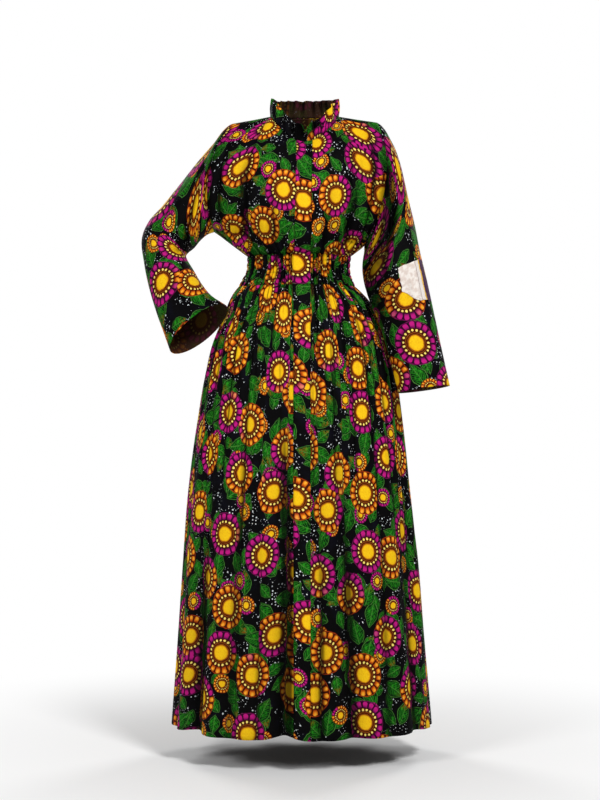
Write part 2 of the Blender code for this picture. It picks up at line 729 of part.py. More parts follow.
def build_bodice():
    quarters = {}
    for side, sleeve in ((1, LEFT_SLEEVE), (-1, RIGHT_SLEEVE)):
        for facing, centre in ((-1, CENTRE_FRONT), (1, CENTRE_BACK)):
            quarters[side, facing] = bodice_quarter(sleeve, side, facing, centre)
    # Every grid is read from the wearer's right to left
    back = np.concatenate([quarters[-1, 1][:, ::-1], quarters[1, 1][:, 1:]], axis=1)
    quarter = NECKLINE_COLUMNS + SHOULDER_COLUMNS
    panels = (
        ("bodice_front_left", quarters[1, -1], (0, 1), -1, 0, (0.10, 0.16, 0.06)),
        ("bodice_front_right", quarters[-1, -1][:, ::-1], (-1, 0), -1, quarter, (0.20, 0.10, 0.04)),
        ("bodice_back", back, (-1, 1), 1, quarter, (0.16, 0.08, 0.14)),
    )
    made = {}
    for name, grid, end_sides, facing, centre_column, colour in panels:
        inward = bodice_inward(grid, end_sides, facing, centre_column)
        outer = trim_bodice(grid, end_sides, facing, centre_column)
        make_wall(name, outer, outer + inward * CLOTH_THICKNESS, False, colour)
        made[name] = outer
    return made


def build_sleeve(name, sleeve, shoulder_slope, folds, side, colour):
    rings = sleeve_rings(sleeve, shoulder_slope, folds, side)
    inward = -side * grid_normals(rings, closed=True)
    for column in range(SLEEVE_COLUMNS):
        turn = 2 * math.pi * column / SLEEVE_COLUMNS
        inward[0, column] = armhole_inward(turn)
    make_wall(name, rings, rings + inward * CLOTH_THICKNESS, True, colour)
    return rings, inward


def build_patch(rings, inward):
    rows = slice(PATCH_ROWS[0], PATCH_ROWS[1] + 1)
    columns = slice(PATCH_COLUMNS[0], PATCH_COLUMNS[1] + 1)
    under = rings[rows, columns] - inward[rows, columns] * PATCH_LIFT
    outer = under - inward[rows, columns] * CLOTH_THICKNESS
    make_wall("sleeve_patch", outer, under, False, (0.62, 0.55, 0.50))


def neckline_of(bodice):
    """The neckline points of the sewn bodice, from the front round to the front."""
    left = bodice["bodice_front_left"][-1, :NECKLINE_COLUMNS + 1]
    right = bodice["bodice_front_right"][-1, ::-1][:NECKLINE_COLUMNS + 1][::-1]
    middle = NECKLINE_COLUMNS + SHOULDER_COLUMNS
    back = bodice["bodice_back"][-1, middle - NECKLINE_COLUMNS:middle + NECKLINE_COLUMNS + 1][::-1]
    shoulders = [(left[-1] + back[0]) / 2, (back[-1] + right[0]) / 2]
    return np.concatenate([left[:-1], shoulders[:1], back[1:-1], shoulders[1:], right[1:]])


def build_ruffle(bodice):
    """An open strip that stands on the neckline and flops over at its two ends."""
    corners = neckline_of(bodice)
    steps = (len(corners) - 1) * RUFFLE_STEPS
    outer = np.zeros((len(RUFFLE_RISE["height"]), steps + 1, 3))
    inward = np.zeros_like(outer)
    upright = np.array([0.0, 0.0, 1.0])
    for column in range(steps + 1):
        corner = min(column // RUFFLE_STEPS, len(corners) - 2)
        share = column / RUFFLE_STEPS - corner
        point = corners[corner] + (corners[corner + 1] - corners[corner]) * share
        angle = neck_angle(point)
        level = np.array([math.sin(angle), -math.cos(angle), 0.0])
        flop = smooth_step(RUFFLE_FRONT_ANGLE, 0.0, abs(angle))
        point = point + neckline_upward(angle) * SEAM_GAP
        outer[0, column] = point
        inward[0, column] = neckline_inward(angle)
        for row in range(1, len(outer)):
            lean = math.radians(RUFFLE_RISE["lean"][row] + RUFFLE_RISE["front_lean"][row] * flop)
            step = RUFFLE_RISE["height"][row] - RUFFLE_RISE["height"][row - 1]
            point = point + (level * math.sin(lean) + upright * math.cos(lean)) * step
            wave = RUFFLE_RISE["wave"][row] * math.cos(2 * math.pi * column / RUFFLE_WAVE_COLUMNS)
            outer[row, column] = point + level * wave
            inward[row, column] = -level * math.cos(lean) + upright * math.sin(lean)
    make_wall("neck_ruffle", outer, outer + inward * CLOTH_THICKNESS, False, (0.12, 0.10, 0.05))


def build_front_band(bodice, waist, skirt):
    """The closing band: the middle points of the fronts, moved out."""
    middle = list(range(-BAND_COLUMNS, BAND_COLUMNS + 1))
    rows = [skirt[row, middle] for row in range(skirt.shape[0])]
    rows += [waist[row, middle] for row in range(1, waist.shape[0] - 1)]
    left = bodice["bodice_front_left"]
    right = bodice["bodice_front_right"]
    for row in range(left.shape[0] - 1):
        rows.append([*right[row, -1 - BAND_COLUMNS:-1], *left[row, :BAND_COLUMNS + 1]])
    under = np.array(rows)
    outward = grid_normals(under, closed=False)
    under += outward * PATCH_LIFT
    make_wall("front_band", under + outward * CLOTH_THICKNESS, under, False, (0.08, 0.12, 0.05))


def clear_scene():
    for piece in list(bpy.data.objects):
        bpy.data.objects.remove(piece)


def main():
    clear_scene()
    collection = bpy.data.collections.new(COLLECTION_NAME)
    bpy.context.scene.collection.children.link(collection)
    skirt = build_skirt()
    waist = build_waist()
    bodice = build_bodice()
    rings, inward = build_sleeve("sleeve_left", LEFT_SLEEVE, LEFT_SHOULDER_SLOPE,
                                 LEFT_SLEEVE_FOLDS, 1, (0.12, 0.14, 0.10))
    build_sleeve("sleeve_right", RIGHT_SLEEVE, RIGHT_SHOULDER_SLOPE,
                 RIGHT_SLEEVE_FOLDS, -1, (0.18, 0.12, 0.06))
    build_patch(rings, inward)
    build_ruffle(bodice)
    build_front_band(bodice, waist, skirt)


main()
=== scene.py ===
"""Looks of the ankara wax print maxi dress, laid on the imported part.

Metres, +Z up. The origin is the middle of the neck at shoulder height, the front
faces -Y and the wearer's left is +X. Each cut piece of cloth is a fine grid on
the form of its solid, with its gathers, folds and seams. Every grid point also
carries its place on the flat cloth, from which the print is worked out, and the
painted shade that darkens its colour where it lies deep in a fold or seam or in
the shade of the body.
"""
import math
from math import pi

import bpy
import numpy as np
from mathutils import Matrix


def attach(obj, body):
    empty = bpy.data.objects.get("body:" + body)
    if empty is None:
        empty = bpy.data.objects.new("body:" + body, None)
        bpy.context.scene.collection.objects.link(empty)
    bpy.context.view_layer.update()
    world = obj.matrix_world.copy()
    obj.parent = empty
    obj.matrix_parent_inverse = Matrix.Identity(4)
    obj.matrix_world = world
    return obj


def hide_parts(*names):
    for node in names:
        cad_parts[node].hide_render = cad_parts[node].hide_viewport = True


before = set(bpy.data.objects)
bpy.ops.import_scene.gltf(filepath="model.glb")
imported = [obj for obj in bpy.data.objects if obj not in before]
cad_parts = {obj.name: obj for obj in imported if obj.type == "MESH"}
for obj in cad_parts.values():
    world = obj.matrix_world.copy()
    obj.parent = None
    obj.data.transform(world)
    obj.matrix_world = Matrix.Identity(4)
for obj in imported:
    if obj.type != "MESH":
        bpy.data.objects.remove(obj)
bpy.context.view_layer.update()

# Cloth
CLOTH_THICKNESS = 0.0011
THREAD_PITCH = 0.0007
BAND_HALF_WIDTH = 0.0185
BAND_LIFT = 0.0017
PATCH_LIFT = 0.0018

# The gathers rise from nothing to full over this distance from the band's edge
BAND_EASE = 0.008

# How far around a point the depth of its crease is measured, and the depths at which
# painted shade starts to darken its colour and is darkest
HOLLOW_REACHES = (
    (0.01, 0, 0.0028),
    (0.018, 0, 0.005),
    (0.034, 0.0004, 0.009),
)
# The most that the painted shade darkens the colour, of 1
HOLLOW_SHADE = 0.86

# How dark the shade painted at the bottom of a fold, a seam or a row of shirring is,
# of 1, with each seam's width as a part of its piece's height, and the depth of such
# a fold
FOLD_SHADE = 0.70
SEAM_SHADE = 0.60
WAIST_SEAM_WIDTH = 0.09
BODICE_SEAM_WIDTH = 0.07
SHIRRING_SHADE = 0.40
SKIRT_FOLD_DEPTH = 0.024
BODICE_FOLD_DEPTH = 0.012
SLEEVE_FOLD_DEPTH = 0.018
BAND_EDGE_SHADE = 0.3
BAND_EDGE_WIDTH = 0.002
BAND_PRINT_START = (0.21, -1.33)

# Grid steps
BAND_COLUMNS = 6
FRONT_COLUMNS = 224
BACK_COLUMNS = 448
SKIRT_ROWS = 104
WAIST_ROWS = 30
BODICE_ROWS = 84
BODICE_COLUMNS = 110
SLEEVE_ROWS = 140
SLEEVE_COLUMNS = 144
RUFFLE_ROWS = 14
RUFFLE_COLUMNS = 720

# Neck
NECK_MIDDLE = (0.006, 0.005)
NECK_HALF_WIDTH = 0.079
NECK_FRONT_REACH = 0.080
NECK_BACK_REACH = 0.060
NECK_FRONT_Z = -0.062
NECK_SIDE_Z = 0.008
NECK_BACK_Z = 0.014
RUFFLE_FRONT_ANGLE = math.radians(22)
RUFFLE_WAVES = 21
RUFFLE_LAP = math.radians(4)
RUFFLE_LAP_APART = 0.0022
RUFFLE_FLAT_LENGTH = 0.72
RUFFLE_PRINT_START = (0.12, 0.37)
RUFFLE_SAG_SHARE = 0.25
RUFFLE_UNEVENNESS = 0.45

# Flat cloth of the skirt, from the middle of the front to the side seam, and from
# side seam to side seam at the back
FRONT_FLAT_WIDTH = 0.47
BACK_FLAT_WIDTH = 0.92

# Flat cloth of a quarter of the foot of the bodice, and the part of the bodice's
# height over which its gathers ease out to flat cloth
BODICE_FLAT_QUARTER = 0.25
BODICE_EASES_OVER = 0.65

# Parts of the bodice's height below the armhole, and of a row to the neckline
SIDE_SEAM_SHARE = 2 / 12
NECKLINE_SHARE = 0.5


def table(columns, *rows):
    """Give the rows as one array for each named column."""
    return {name: np.array(values, float) for name, values in zip(columns.split(), zip(*rows))}


def rows_of(columns):
    return zip(*columns.values())


# Columns of the tables that are alike
RING_ROW = "drop right_side left_side front back"
SLEEVE_ROW = "outer_x outer_z inner_x inner_z middle_y half_depth swell"
FOLD_ROW = "along around depth half_length half_angle turn"

# Half widths and reaches of the skirt; the hem row is the last
SKIRT_SECTIONS = table(
    RING_ROW,
    (0.385, 0.143, 0.12, 0.099, 0.096),
    (0.4, 0.1545, 0.136, 0.107, 0.106),
    (0.415, 0.1625, 0.15, 0.115, 0.115),
    (0.45, 0.176, 0.172, 0.127, 0.13),
    (0.5, 0.1985, 0.195, 0.14, 0.145),
    (0.58, 0.219, 0.213, 0.153, 0.158),
    (0.7, 0.239, 0.231, 0.167, 0.169),
    (0.86, 0.259, 0.249, 0.183, 0.18),
    (1.03, 0.273, 0.269, 0.196, 0.19),
    (1.21, 0.286, 0.286, 0.206, 0.2),
    (1.387, 0.299, 0.301, 0.212, 0.208),
)

# Long valleys of the skirt, by their angle from the front at the hem, how far down
# each one starts and is full, and how much cloth its crease hides
SKIRT_FOLDS = table(
    "angle depth half_width starts full hem_lift hidden",
    (-8, 0.022, 7, 0.45, 1.25, 0.01, 0.02),
    (8.5, 0.012, 6, 0.55, 1.2, 0, 0.014),
    (23, 0.017, 7, 0.5, 1.2, 0.003, 0.018),
    (42, 0.011, 8, 0.7, 1.3, 0, 0.008),
    (61, 0.016, 8, 0.6, 1.25, 0.004, 0.012),
    (83, 0.01, 7, 0.9, 1.35, 0, 0.006),
    (105, 0.018, 8, 0.55, 1.2, 0.004, 0.014),
    (128, 0.015, 8, 0.65, 1.3, 0, 0.01),
    (150, 0.02, 8, 0.5, 1.2, 0.005, 0.016),
    (171, 0.014, 7, 0.6, 1.25, 0, 0.01),
    (192, 0.018, 8, 0.55, 1.2, 0.003, 0.014),
    (215, 0.02, 9, 0.6, 1.25, 0.005, 0.016),
    (238, 0.014, 8, 0.7, 1.3, 0, 0.008),
    (259, 0.017, 8, 0.6, 1.2, 0.004, 0.012),
    (281, 0.01, 7, 0.9, 1.35, 0, 0.006),
    (303, 0.024, 8, 0.8, 1.3, 0.006, 0.016),
    (325, 0.009, 7, 0.6, 1.3, 0, 0.008),
    (340, 0.01, 6, 0.6, 1.3, 0, 0.01),
)

# How far a long fold drifts sideways in degrees, and over what drop it turns back
FOLD_DRIFT = 2.2
FOLD_DRIFT_DROP = 0.28

# A gather's ridge is this blunt and stands this far in; its place and height wander
GATHER_BLUNTNESS = 0.75
GATHER_MIDDLE = 0.65
GATHER_PLACE_WANDER = 0.6
GATHER_HEIGHT = 0.9
GATHER_HEIGHT_WANDER = 0.45
CREASE_SOFTNESS = 0.08

# Gathers of the waist and the skirt. The pitch is on the flat cloth; each size swells
# in from starts to full and dies out from fades to gone, as drops
SKIRT_GATHERS = table(
    "pitch height taken_up starts full fades gone lean",
    (0.018, 0.0054, 0.16, 0.29, 0.31, 0.4, 0.54, 0),
    (0.036, 0.0062, 0.18, 0.29, 0.31, 0.52, 0.8, 0.2),
    (0.071, 0.0074, 0.1, 0.41, 0.53, 0.76, 1.25, 0.4),
    (0.143, 0.007, 0.04, 0.55, 0.9, 2, 3, 0.5),
)

# The shirred waist
WAIST_SECTIONS = table(
    RING_ROW,
    (0.315, 0.1205, 0.108, 0.091, 0.088),
    (0.3325, 0.121, 0.106, 0.0915, 0.0885),
    (0.35, 0.123, 0.106, 0.0915, 0.0885),
    (0.3675, 0.132, 0.1105, 0.0945, 0.0915),
    (0.385, 0.143, 0.12, 0.099, 0.096),
)

WAIST_TOP = WAIST_SECTIONS["drop"][0]
WAIST_FOOT = WAIST_SECTIONS["drop"][-1]

# Rows of elastic, and how much higher the gathers stand between them than the skirt's
SHIRRING_ROWS = 5
SHIRRING_GAIN = 0.55
SHIRRING_PINCH = 0.30

# Elastic takes up cloth in height too, a little
WAIST_PRINT_STRETCH = 1.15
WAIST_PRINT_START = 0.058

# Gathers that rise from the waist seam up the bodice and die out
BODICE_GATHERS = table(
    "pitch height taken_up gone",
    (0.0105, 0.0022, 0.14, 0.22),
    (0.022, 0.0044, 0.16, 0.5),
    (0.047, 0.0056, 0.1, 0.9),
)

# Middle of the front and back of the bodice, from the waist up to the neck
CENTRE_FRONT = table(
    "drop reach",
    (0.315, 0.091),
    (0.298, 0.113),
    (0.262, 0.129),
    (0.205, 0.136),
    (0.145, 0.127),
    (0.095, 0.101),
    (0.062, 0.075),
)
CENTRE_BACK = table(
    "drop reach",
    (0.315, 0.088),
    (0.298, 0.106),
    (0.255, 0.119),
    (0.18, 0.119),
    (0.09, 0.108),
    (0.03, 0.088),
    (-0.014, 0.065),
)
BODICE_FULLNESS = 0.016
BODICE_PRINT_START = -0.304

# Depth of the crease along each armhole, and its width on the bodice and the sleeve
ARMHOLE_CREASE = 0.013
ARMHOLE_CREASE_ACROSS = 0.08
ARMHOLE_CREASE_ALONG = 0.045

# The folds of the back are this much shallower than those of the front
BACK_FOLD_SHARE = 0.8

# Soft folds of the bodice: place across (0 at the middle, 1 at the armhole) and up
# (0 at the waist, 1 at the shoulder), and how far the fold drifts across as it rises
BODICE_FOLDS = table(
    "side across up depth half_width half_height drift",
    (1, 0.3, 0.25, 0.008, 0.09, 0.28, 0.1),
    (1, 0.62, 0.3, 0.011, 0.1, 0.3, 0.25),
    (1, 0.86, 0.62, 0.01, 0.07, 0.3, 0.05),
    (-1, 0.28, 0.28, 0.008, 0.09, 0.28, 0.12),
    (-1, 0.6, 0.3, 0.01, 0.1, 0.3, 0.2),
    (-1, 0.88, 0.5, 0.014, 0.07, 0.3, 0.05),
)

# Sleeves: the outer and inner line of each one as seen from the front, how far its
# middle stands forward or back, its half depth, and its sideways swell
LEFT_SLEEVE = table(
    SLEEVE_ROW,
    (0.172, -0.007, 0.143, -0.29, 0, 0.08, 0.032),
    (0.205, -0.051, 0.143, -0.302, 0, 0.08, 0.03),
    (0.221, -0.092, 0.141, -0.314, -0.004, 0.078, 0.03),
    (0.234, -0.144, 0.139, -0.327, -0.01, 0.075, 0.028),
    (0.245, -0.19, 0.138, -0.342, -0.018, 0.072, 0.026),
    (0.256, -0.241, 0.139, -0.36, -0.029, 0.069, 0.022),
    (0.267, -0.302, 0.143, -0.386, -0.043, 0.066, 0.015),
    (0.282, -0.371, 0.153, -0.421, -0.06, 0.062, 0.006),
    (0.296, -0.443, 0.171, -0.467, -0.076, 0.058, 0),
    (0.309, -0.509, 0.188, -0.52, -0.087, 0.055, 0),
    (0.32, -0.561, 0.202, -0.572, -0.092, 0.054, 0),
    (0.331, -0.612, 0.215, -0.628, -0.096, 0.054, 0),
)
RIGHT_SLEEVE = table(
    SLEEVE_ROW,
    (-0.16, -0.01, -0.202, -0.258, 0, 0.078, -0.03),
    (-0.202, -0.054, -0.219, -0.264, 0.005, 0.076, -0.016),
    (-0.239, -0.095, -0.235, -0.277, 0.01, 0.073, -0.007),
    (-0.282, -0.148, -0.249, -0.293, 0.015, 0.069, -0.002),
    (-0.321, -0.195, -0.261, -0.302, 0.02, 0.065, 0),
    (-0.354, -0.232, -0.267, -0.309, 0.02, 0.062, 0),
    (-0.37, -0.274, -0.267, -0.317, 0.015, 0.06, 0),
    (-0.364, -0.326, -0.261, -0.329, 0.004, 0.058, 0),
    (-0.351, -0.383, -0.246, -0.351, -0.015, 0.057, 0),
    (-0.33, -0.446, -0.228, -0.38, -0.04, 0.057, 0),
    (-0.312, -0.492, -0.204, -0.409, -0.06, 0.058, 0),
    (-0.295, -0.536, -0.17, -0.432, -0.08, 0.06, 0),
)

# The depth of a sleeve points to the front at the shoulder and turns square to the
# sleeve between these places; the sleeve's run is read this far on each side
SLEEVE_TURNS_SQUARE = (0.25, 0.55)
SLEEVE_RUN_REACH = 0.05

# Where the outer line of each sleeve heads from the shoulder, over its whole length
LEFT_SHOULDER_SLOPE = (0.6, 0.0, -0.32)
RIGHT_SHOULDER_SLOPE = (-0.65, 0.0, -0.3)

# Folds of the sleeves: place along (0 at the armhole, 1 at the cuff), angle around
# (0 on the outer line, 90 in front), and how far the fold turns over the length
LEFT_SLEEVE_FOLDS = table(
    FOLD_ROW,
    (0.18, 66, 0.007, 0.14, 18, -60),
    (0.3, 104, 0.02, 0.26, 11, 40),
    (0.44, 146, 0.018, 0.34, 24, -10),
    (0.2, 255, 0.009, 0.18, 24, 50),
    (0.62, 70, 0.005, 0.2, 26, 20),
    (0.66, 250, 0.006, 0.22, 28, 20),
)
RIGHT_SLEEVE_FOLDS = table(
    FOLD_ROW,
    (0.3, 124, 0.015, 0.15, 15, 240),
    (0.14, 70, 0.009, 0.13, 15, 120),
    (0.42, 62, 0.006, 0.12, 20, 90),
    (0.57, 128, 0.01, 0.08, 24, -60),
    (0.22, 250, 0.008, 0.18, 28, -60),
    (0.57, 235, 0.007, 0.1, 30, 0),
    (0.8, 95, 0.005, 0.16, 24, 0),
)

# Parts of a sleeve's length over which its folds set in
SLEEVE_FOLDS_SET_IN = (0.02, 0.15)

# Where a sleeve lies in the shade of its own fold or of the body; here the depth is
# how dark it gets
LEFT_SLEEVE_SHADES = table(
    FOLD_ROW,
    (0.08, 93, 2, 0.1, 16, 150),
    (0.3, 112, 2.4, 0.22, 26, 0),
    (0.6, 152, 1.2, 0.22, 40, 0),
)
RIGHT_SLEEVE_SHADES = table(
    FOLD_ROW,
    (0.3, 124, 0.8, 0.15, 17, 240),
)

# The ruffle's lean at each height above its seam, its extra lean at the front
# opening, and the height of its waves
RUFFLE_RISE = table(
    "height lean front_lean wave",
    (0, 0, 0, 0),
    (0.008, -2, 10, 0.001),
    (0.016, -6, 34, 0.0022),
    (0.03, -12, 74, 0.0034),
    (0.041, -18, 106, 0.0046),
)

# The patch on the wearer's left sleeve, along and around it
PATCH_ALONG = (10 / 17, 12 / 17)
PATCH_AROUND = (math.radians(18), math.radians(90))
PATCH_STEPS = 60
PATCH_CORNER_WIDTH = 0.36
PATCH_CORNER_START = 0.7
PATCH_CREASES = table(
    "across slant height half_width",
    (0.45, 0.1, 0.0012, 0.05),
    (0.72, -0.15, 0.0009, 0.04),
)

PATCH_SOILED = (0.66, 0.56, 0.5, 1)
PATCH_CREAM = (0.8, 0.74, 0.69, 1)

# Stripes of the patch from the inner one out, each up to its distance from the edge
PATCH_STRIPES = (
    (0.0372, (0.3, 0.2, 0.2, 1)),
    (0.0358, (0.78, 0.72, 0.67, 1)),
    (0.0262, (0.8, 0.46, 0.05, 1)),
    (0.0222, (0.045, 0.008, 0.05, 1)),
)
PATCH_LINE_SOFTNESS = 0.0006

# Camera, floor and light
CAMERA_PLACE = (-0.0046, -3.77, -0.644)
CAMERA_LENS = 73.8
FLOOR_Z = -1.46
FLOOR_HALF_SIZE = 3.0
FLOOR_FADE = (0.35, 1.35)
FLOOR_PALE = (0.9, 0.9, 0.9, 1)
MIDDLE_OF_DRESS = (0.0, 0.0, -0.65)
WORLD_LIGHT = 0.2


# Curves and small helpers

def smooth_curve(stations, values, at, start_slope=None):
    """Read a smooth curve through the values at the stations."""
    slopes = np.gradient(values, stations)
    if start_slope is not None:
        slopes[0] = start_slope
    at = np.clip(at, stations[0], stations[-1])
    i = np.clip(np.searchsorted(stations, at) - 1, 0, len(stations) - 2)
    span = stations[i + 1] - stations[i]
    t = (at - stations[i]) / span
    start_weight = 2 * t**3 - 3 * t**2 + 1
    end_weight = 1 - start_weight
    return (
        start_weight * values[i]
        + end_weight * values[i + 1]
        + (t**3 - 2 * t**2 + t) * span * slopes[i]
        + (t**3 - t**2) * span * slopes[i + 1]
    )


def smooth_step(start, end, value):
    t = np.clip((value - start) / (end - start), 0.0, 1.0)
    return t * t * (3.0 - 2.0 * t)


def bump(distance, half_width):
    return np.exp(-((distance / half_width) ** 2))


def valley(distance, half_width, sharp=0.4):
    """A soft valley with a sharper one along its bottom."""
    wide = (1 - sharp) * bump(distance, half_width)
    return wide + sharp * bump(distance, half_width * sharp)


def stacked(*parts):
    """Points from the arrays of their numbers."""
    return np.stack(np.broadcast_arrays(*parts), axis=-1)


def unit(vectors):
    length = np.linalg.norm(vectors, axis=-1, keepdims=True)
    return vectors / np.maximum(length, 1e-9)


def wander(at, seed):
    """A smooth random line between -1 and 1 that changes about once a unit."""
    knots = np.random.RandomState(seed).uniform(-1.0, 1.0, 512)
    at = np.asarray(at) + 128.0
    i = np.floor(at).astype(int)
    share = smooth_step(0.0, 1.0, at - i)
    return knots[i % 512] * (1 - share) + knots[(i + 1) % 512] * share


def grid_normals(points):
    """Outward normals of a grid whose columns turn leftward and rows rise."""
    across = np.gradient(points, axis=1)
    along = np.gradient(points, axis=0)
    return unit(np.cross(across, along))


def blurred(points, axis, reach):
    """Each point averaged with those within a distance along one axis of the grid."""
    step = np.median(np.linalg.norm(np.diff(points, axis=axis), axis=-1))
    count = max(1, int(round(reach / step)))
    for _ in range(2):
        first = np.repeat(np.take(points, [0], axis=axis), count + 1, axis=axis)
        last = np.repeat(np.take(points, [-1], axis=axis), count, axis=axis)
        sums = np.cumsum(np.concatenate([first, points, last], axis=axis), axis=axis)
        sums = np.moveaxis(sums, axis, 0)
        window = 2 * count + 1
        points = np.moveaxis((sums[window:] - sums[:-window]) / window, 0, axis)
    return points


def hollows(points):
    """How deep in a crease or fold each point of a grid lies, from 0 to 1."""
    normals = grid_normals(points)
    deep = np.zeros(points.shape[:2])
    for reach, start, end in HOLLOW_REACHES:
        around = blurred(blurred(points, 1, reach), 0, reach)
        below = ((around - points) * normals).sum(axis=-1)
        deep = np.maximum(deep, smooth_step(start, end, below))
    return deep


def lengths_along(points, axis):
    """Distance run along one axis of a grid, from its first row or column."""
    steps = np.linalg.norm(np.diff(points, axis=axis), axis=-1)
    start = np.zeros_like(np.take(steps, [0], axis=axis))
    return np.concatenate([start, np.cumsum(steps, axis=axis)], axis=axis)


# Rings of the skirt and waist

def crease_run(place, pitch, taken_up):
    """Cloth taken up by the creases, which lie at the whole numbers of the place."""
    apart = place - np.round(place)
    return taken_up * pitch * (0.5 * np.tanh(apart / CREASE_SOFTNESS) - apart)


def gather_place(flat, pitch, seed):
    """Where a point lies among gathers of uneven width, counted in gathers."""
    return flat / pitch + GATHER_PLACE_WANDER * wander(flat / (2.5 * pitch), seed)


def gather_ridge(place, flat, pitch, seed):
    """Height of the gathers at a place, of 1, uneven from one to the next."""
    ridge = np.abs(np.sin(pi * place)) ** GATHER_BLUNTNESS - GATHER_MIDDLE
    return ridge * (GATHER_HEIGHT + GATHER_HEIGHT_WANDER * wander(flat / (1.7 * pitch), seed))


def ring_place(sections, drop, angle):
    """x and y of a point of an oval that has its own reach on each of its sides."""
    right, left, front, back = (
        smooth_curve(sections["drop"], sections[name], drop)
        for name in ("right_side", "left_side", "front", "back")
    )
    side = np.where(np.sin(angle) > 0, left, right)
    reach = np.where(np.cos(angle) > 0, front, back)
    return side * np.sin(angle), -reach * np.cos(angle)


def raise_ring(sections, drop, angle, raised):
    x, y = ring_place(sections, drop, angle)
    return stacked(x, y, -drop) + unit(stacked(x, y * 1.3, 0.0)) * raised[..., None]


def panel_angles(sections, drop, panel):
    """Angles of a panel's columns in each row, and their place on the flat cloth.

    The first columns of a front panel keep to the width of the closing band."""
    rows = len(drop)
    if panel == "back":
        share = np.linspace(0, 1, BACK_COLUMNS + 1)
        angle = np.broadcast_to(pi / 2 + pi * share, (rows, len(share)))
        return angle, np.broadcast_to(FRONT_FLAT_WIDTH + BACK_FLAT_WIDTH * share, angle.shape)
    edge = np.arcsin(BAND_HALF_WIDTH / smooth_curve(sections["drop"], sections["left_side"], drop))
    edge = edge[:, None]
    within = np.linspace(0, 1, BAND_COLUMNS + 1)[None, :]
    beyond = np.linspace(0, 1, FRONT_COLUMNS - BAND_COLUMNS + 1)[None, 1:]
    angle = np.concatenate([edge * within, edge + (pi / 2 - edge) * beyond], axis=1)
    flat = np.concatenate([
        BAND_HALF_WIDTH * within,
        BAND_HALF_WIDTH + (FRONT_FLAT_WIDTH - BAND_HALF_WIDTH) * beyond,
    ], axis=1)
    flat = np.broadcast_to(flat, angle.shape)
    if panel == "front_right":
        return -angle[:, ::-1], -flat[:, ::-1]
    return angle, flat


def clear_of_band(x, y):
    """0 under the front band and 1 clear of it."""
    clear = smooth_step(BAND_HALF_WIDTH, BAND_HALF_WIDTH + BAND_EASE, np.abs(x))
    return np.where(y > 0, 1.0, clear)


def skirt_folds(angle, drop):
    """How far the long folds pull a point in, lift its hem and hide cloth."""
    middle = np.degrees(angle[0, 0] + angle[0, -1]) / 2
    inward, lift, hidden = np.zeros((3, *angle.shape))
    for i, (place, depth, width, starts, full, raised, creased) in enumerate(rows_of(SKIRT_FOLDS)):
        drift = FOLD_DRIFT * wander(drop / FOLD_DRIFT_DROP, 40 + i) * (1.4 - drop)
        place = middle + (place - middle + 180) % 360 - 180
        apart = np.degrees(angle) - place - drift
        grown = smooth_step(starts, full, drop)
        inward = inward + depth * valley(apart, width, 0.45) * grown
        lift = lift + raised * bump(apart, width) * grown
        hidden = hidden + creased * smooth_step(-0.5, 0.5, apart)
    return inward, lift, hidden


def skirt_gathers(flat, drop):
    """Soft ridges with sharper creases between them, and the cloth in the creases."""
    height = np.zeros(np.broadcast(flat, drop).shape)
    taken_up = np.zeros_like(height)
    for i, row in enumerate(rows_of(SKIRT_GATHERS)):
        pitch, size, creased, starts, full, fades, gone, lean = row
        drift = lean * wander(drop / 0.17, 11 + i) * wander(flat / (4 * pitch), 15 + i)
        place = gather_place(flat, pitch, 21 + i) + drift
        reach = 0.25 * (gone - fades) * wander(flat / (1.3 * pitch), 31 + i)
        shown = smooth_step(starts, full, drop) * (1 - smooth_step(fades, gone, drop + reach))
        height = height + size * gather_ridge(place, flat, pitch, 25 + i) * shown
        taken_up = taken_up + crease_run(place, pitch, creased) * shown
    return height, taken_up


def skirt_panel(panel):
    """Points and flat places of one panel of the skirt, from the hem up."""
    top, foot = SKIRT_SECTIONS["drop"][[0, -1]]
    drop = top + (foot - top) * np.linspace(1, 0, SKIRT_ROWS + 1) ** 1.25
    angle, flat = panel_angles(SKIRT_SECTIONS, drop, panel)
    drop = drop[:, None]
    x, y = ring_place(SKIRT_SECTIONS, drop, angle)
    inward, lift, hidden = skirt_folds(angle, drop)
    clear = clear_of_band(x, y)
    gathers, taken_up = skirt_gathers(flat, drop)
    points = raise_ring(SKIRT_SECTIONS, drop, angle, gathers * clear - inward)
    points[..., 2] += lift
    run = flat + hidden + taken_up * clear
    return points, stacked(run, -drop, FOLD_SHADE * inward / SKIRT_FOLD_DEPTH)


def waist_panel(panel):
    """Points and flat places of one panel of the shirred waist."""
    drop = np.linspace(WAIST_FOOT, WAIST_TOP, WAIST_ROWS + 1)
    angle, flat = panel_angles(WAIST_SECTIONS, drop, panel)
    drop = drop[:, None]
    x, y = ring_place(WAIST_SECTIONS, drop, angle)
    share = (drop - WAIST_TOP) / (WAIST_FOOT - WAIST_TOP)
    puff = np.abs(np.sin(pi * SHIRRING_ROWS * share)) ** 0.6
    gain = (1 + SHIRRING_GAIN * smooth_step(1.0, 0.8, share)) * (1 - SHIRRING_PINCH * (1 - puff))
    clear = clear_of_band(x, y)
    gathers, taken_up = skirt_gathers(flat, drop)
    points = raise_ring(WAIST_SECTIONS, drop, angle, gathers * gain * clear)
    down = WAIST_PRINT_START - drop * WAIST_PRINT_STRETCH
    deep = np.maximum(SEAM_SHADE * bump(share, WAIST_SEAM_WIDTH), SHIRRING_SHADE * (1 - puff) * clear)
    return points, stacked(flat + taken_up * clear, down, deep)


# The bodice

def neckline_point(angle):
    reach = np.where(np.cos(angle) > 0, NECK_FRONT_REACH, NECK_BACK_REACH)
    end_z = np.where(np.cos(angle) > 0, NECK_FRONT_Z, NECK_BACK_Z)
    return stacked(
        NECK_MIDDLE[0] + NECK_HALF_WIDTH * np.sin(angle),
        NECK_MIDDLE[1] - reach * np.cos(angle),
        NECK_SIDE_Z + (end_z - NECK_SIDE_Z) * np.cos(angle) ** 2,
    )


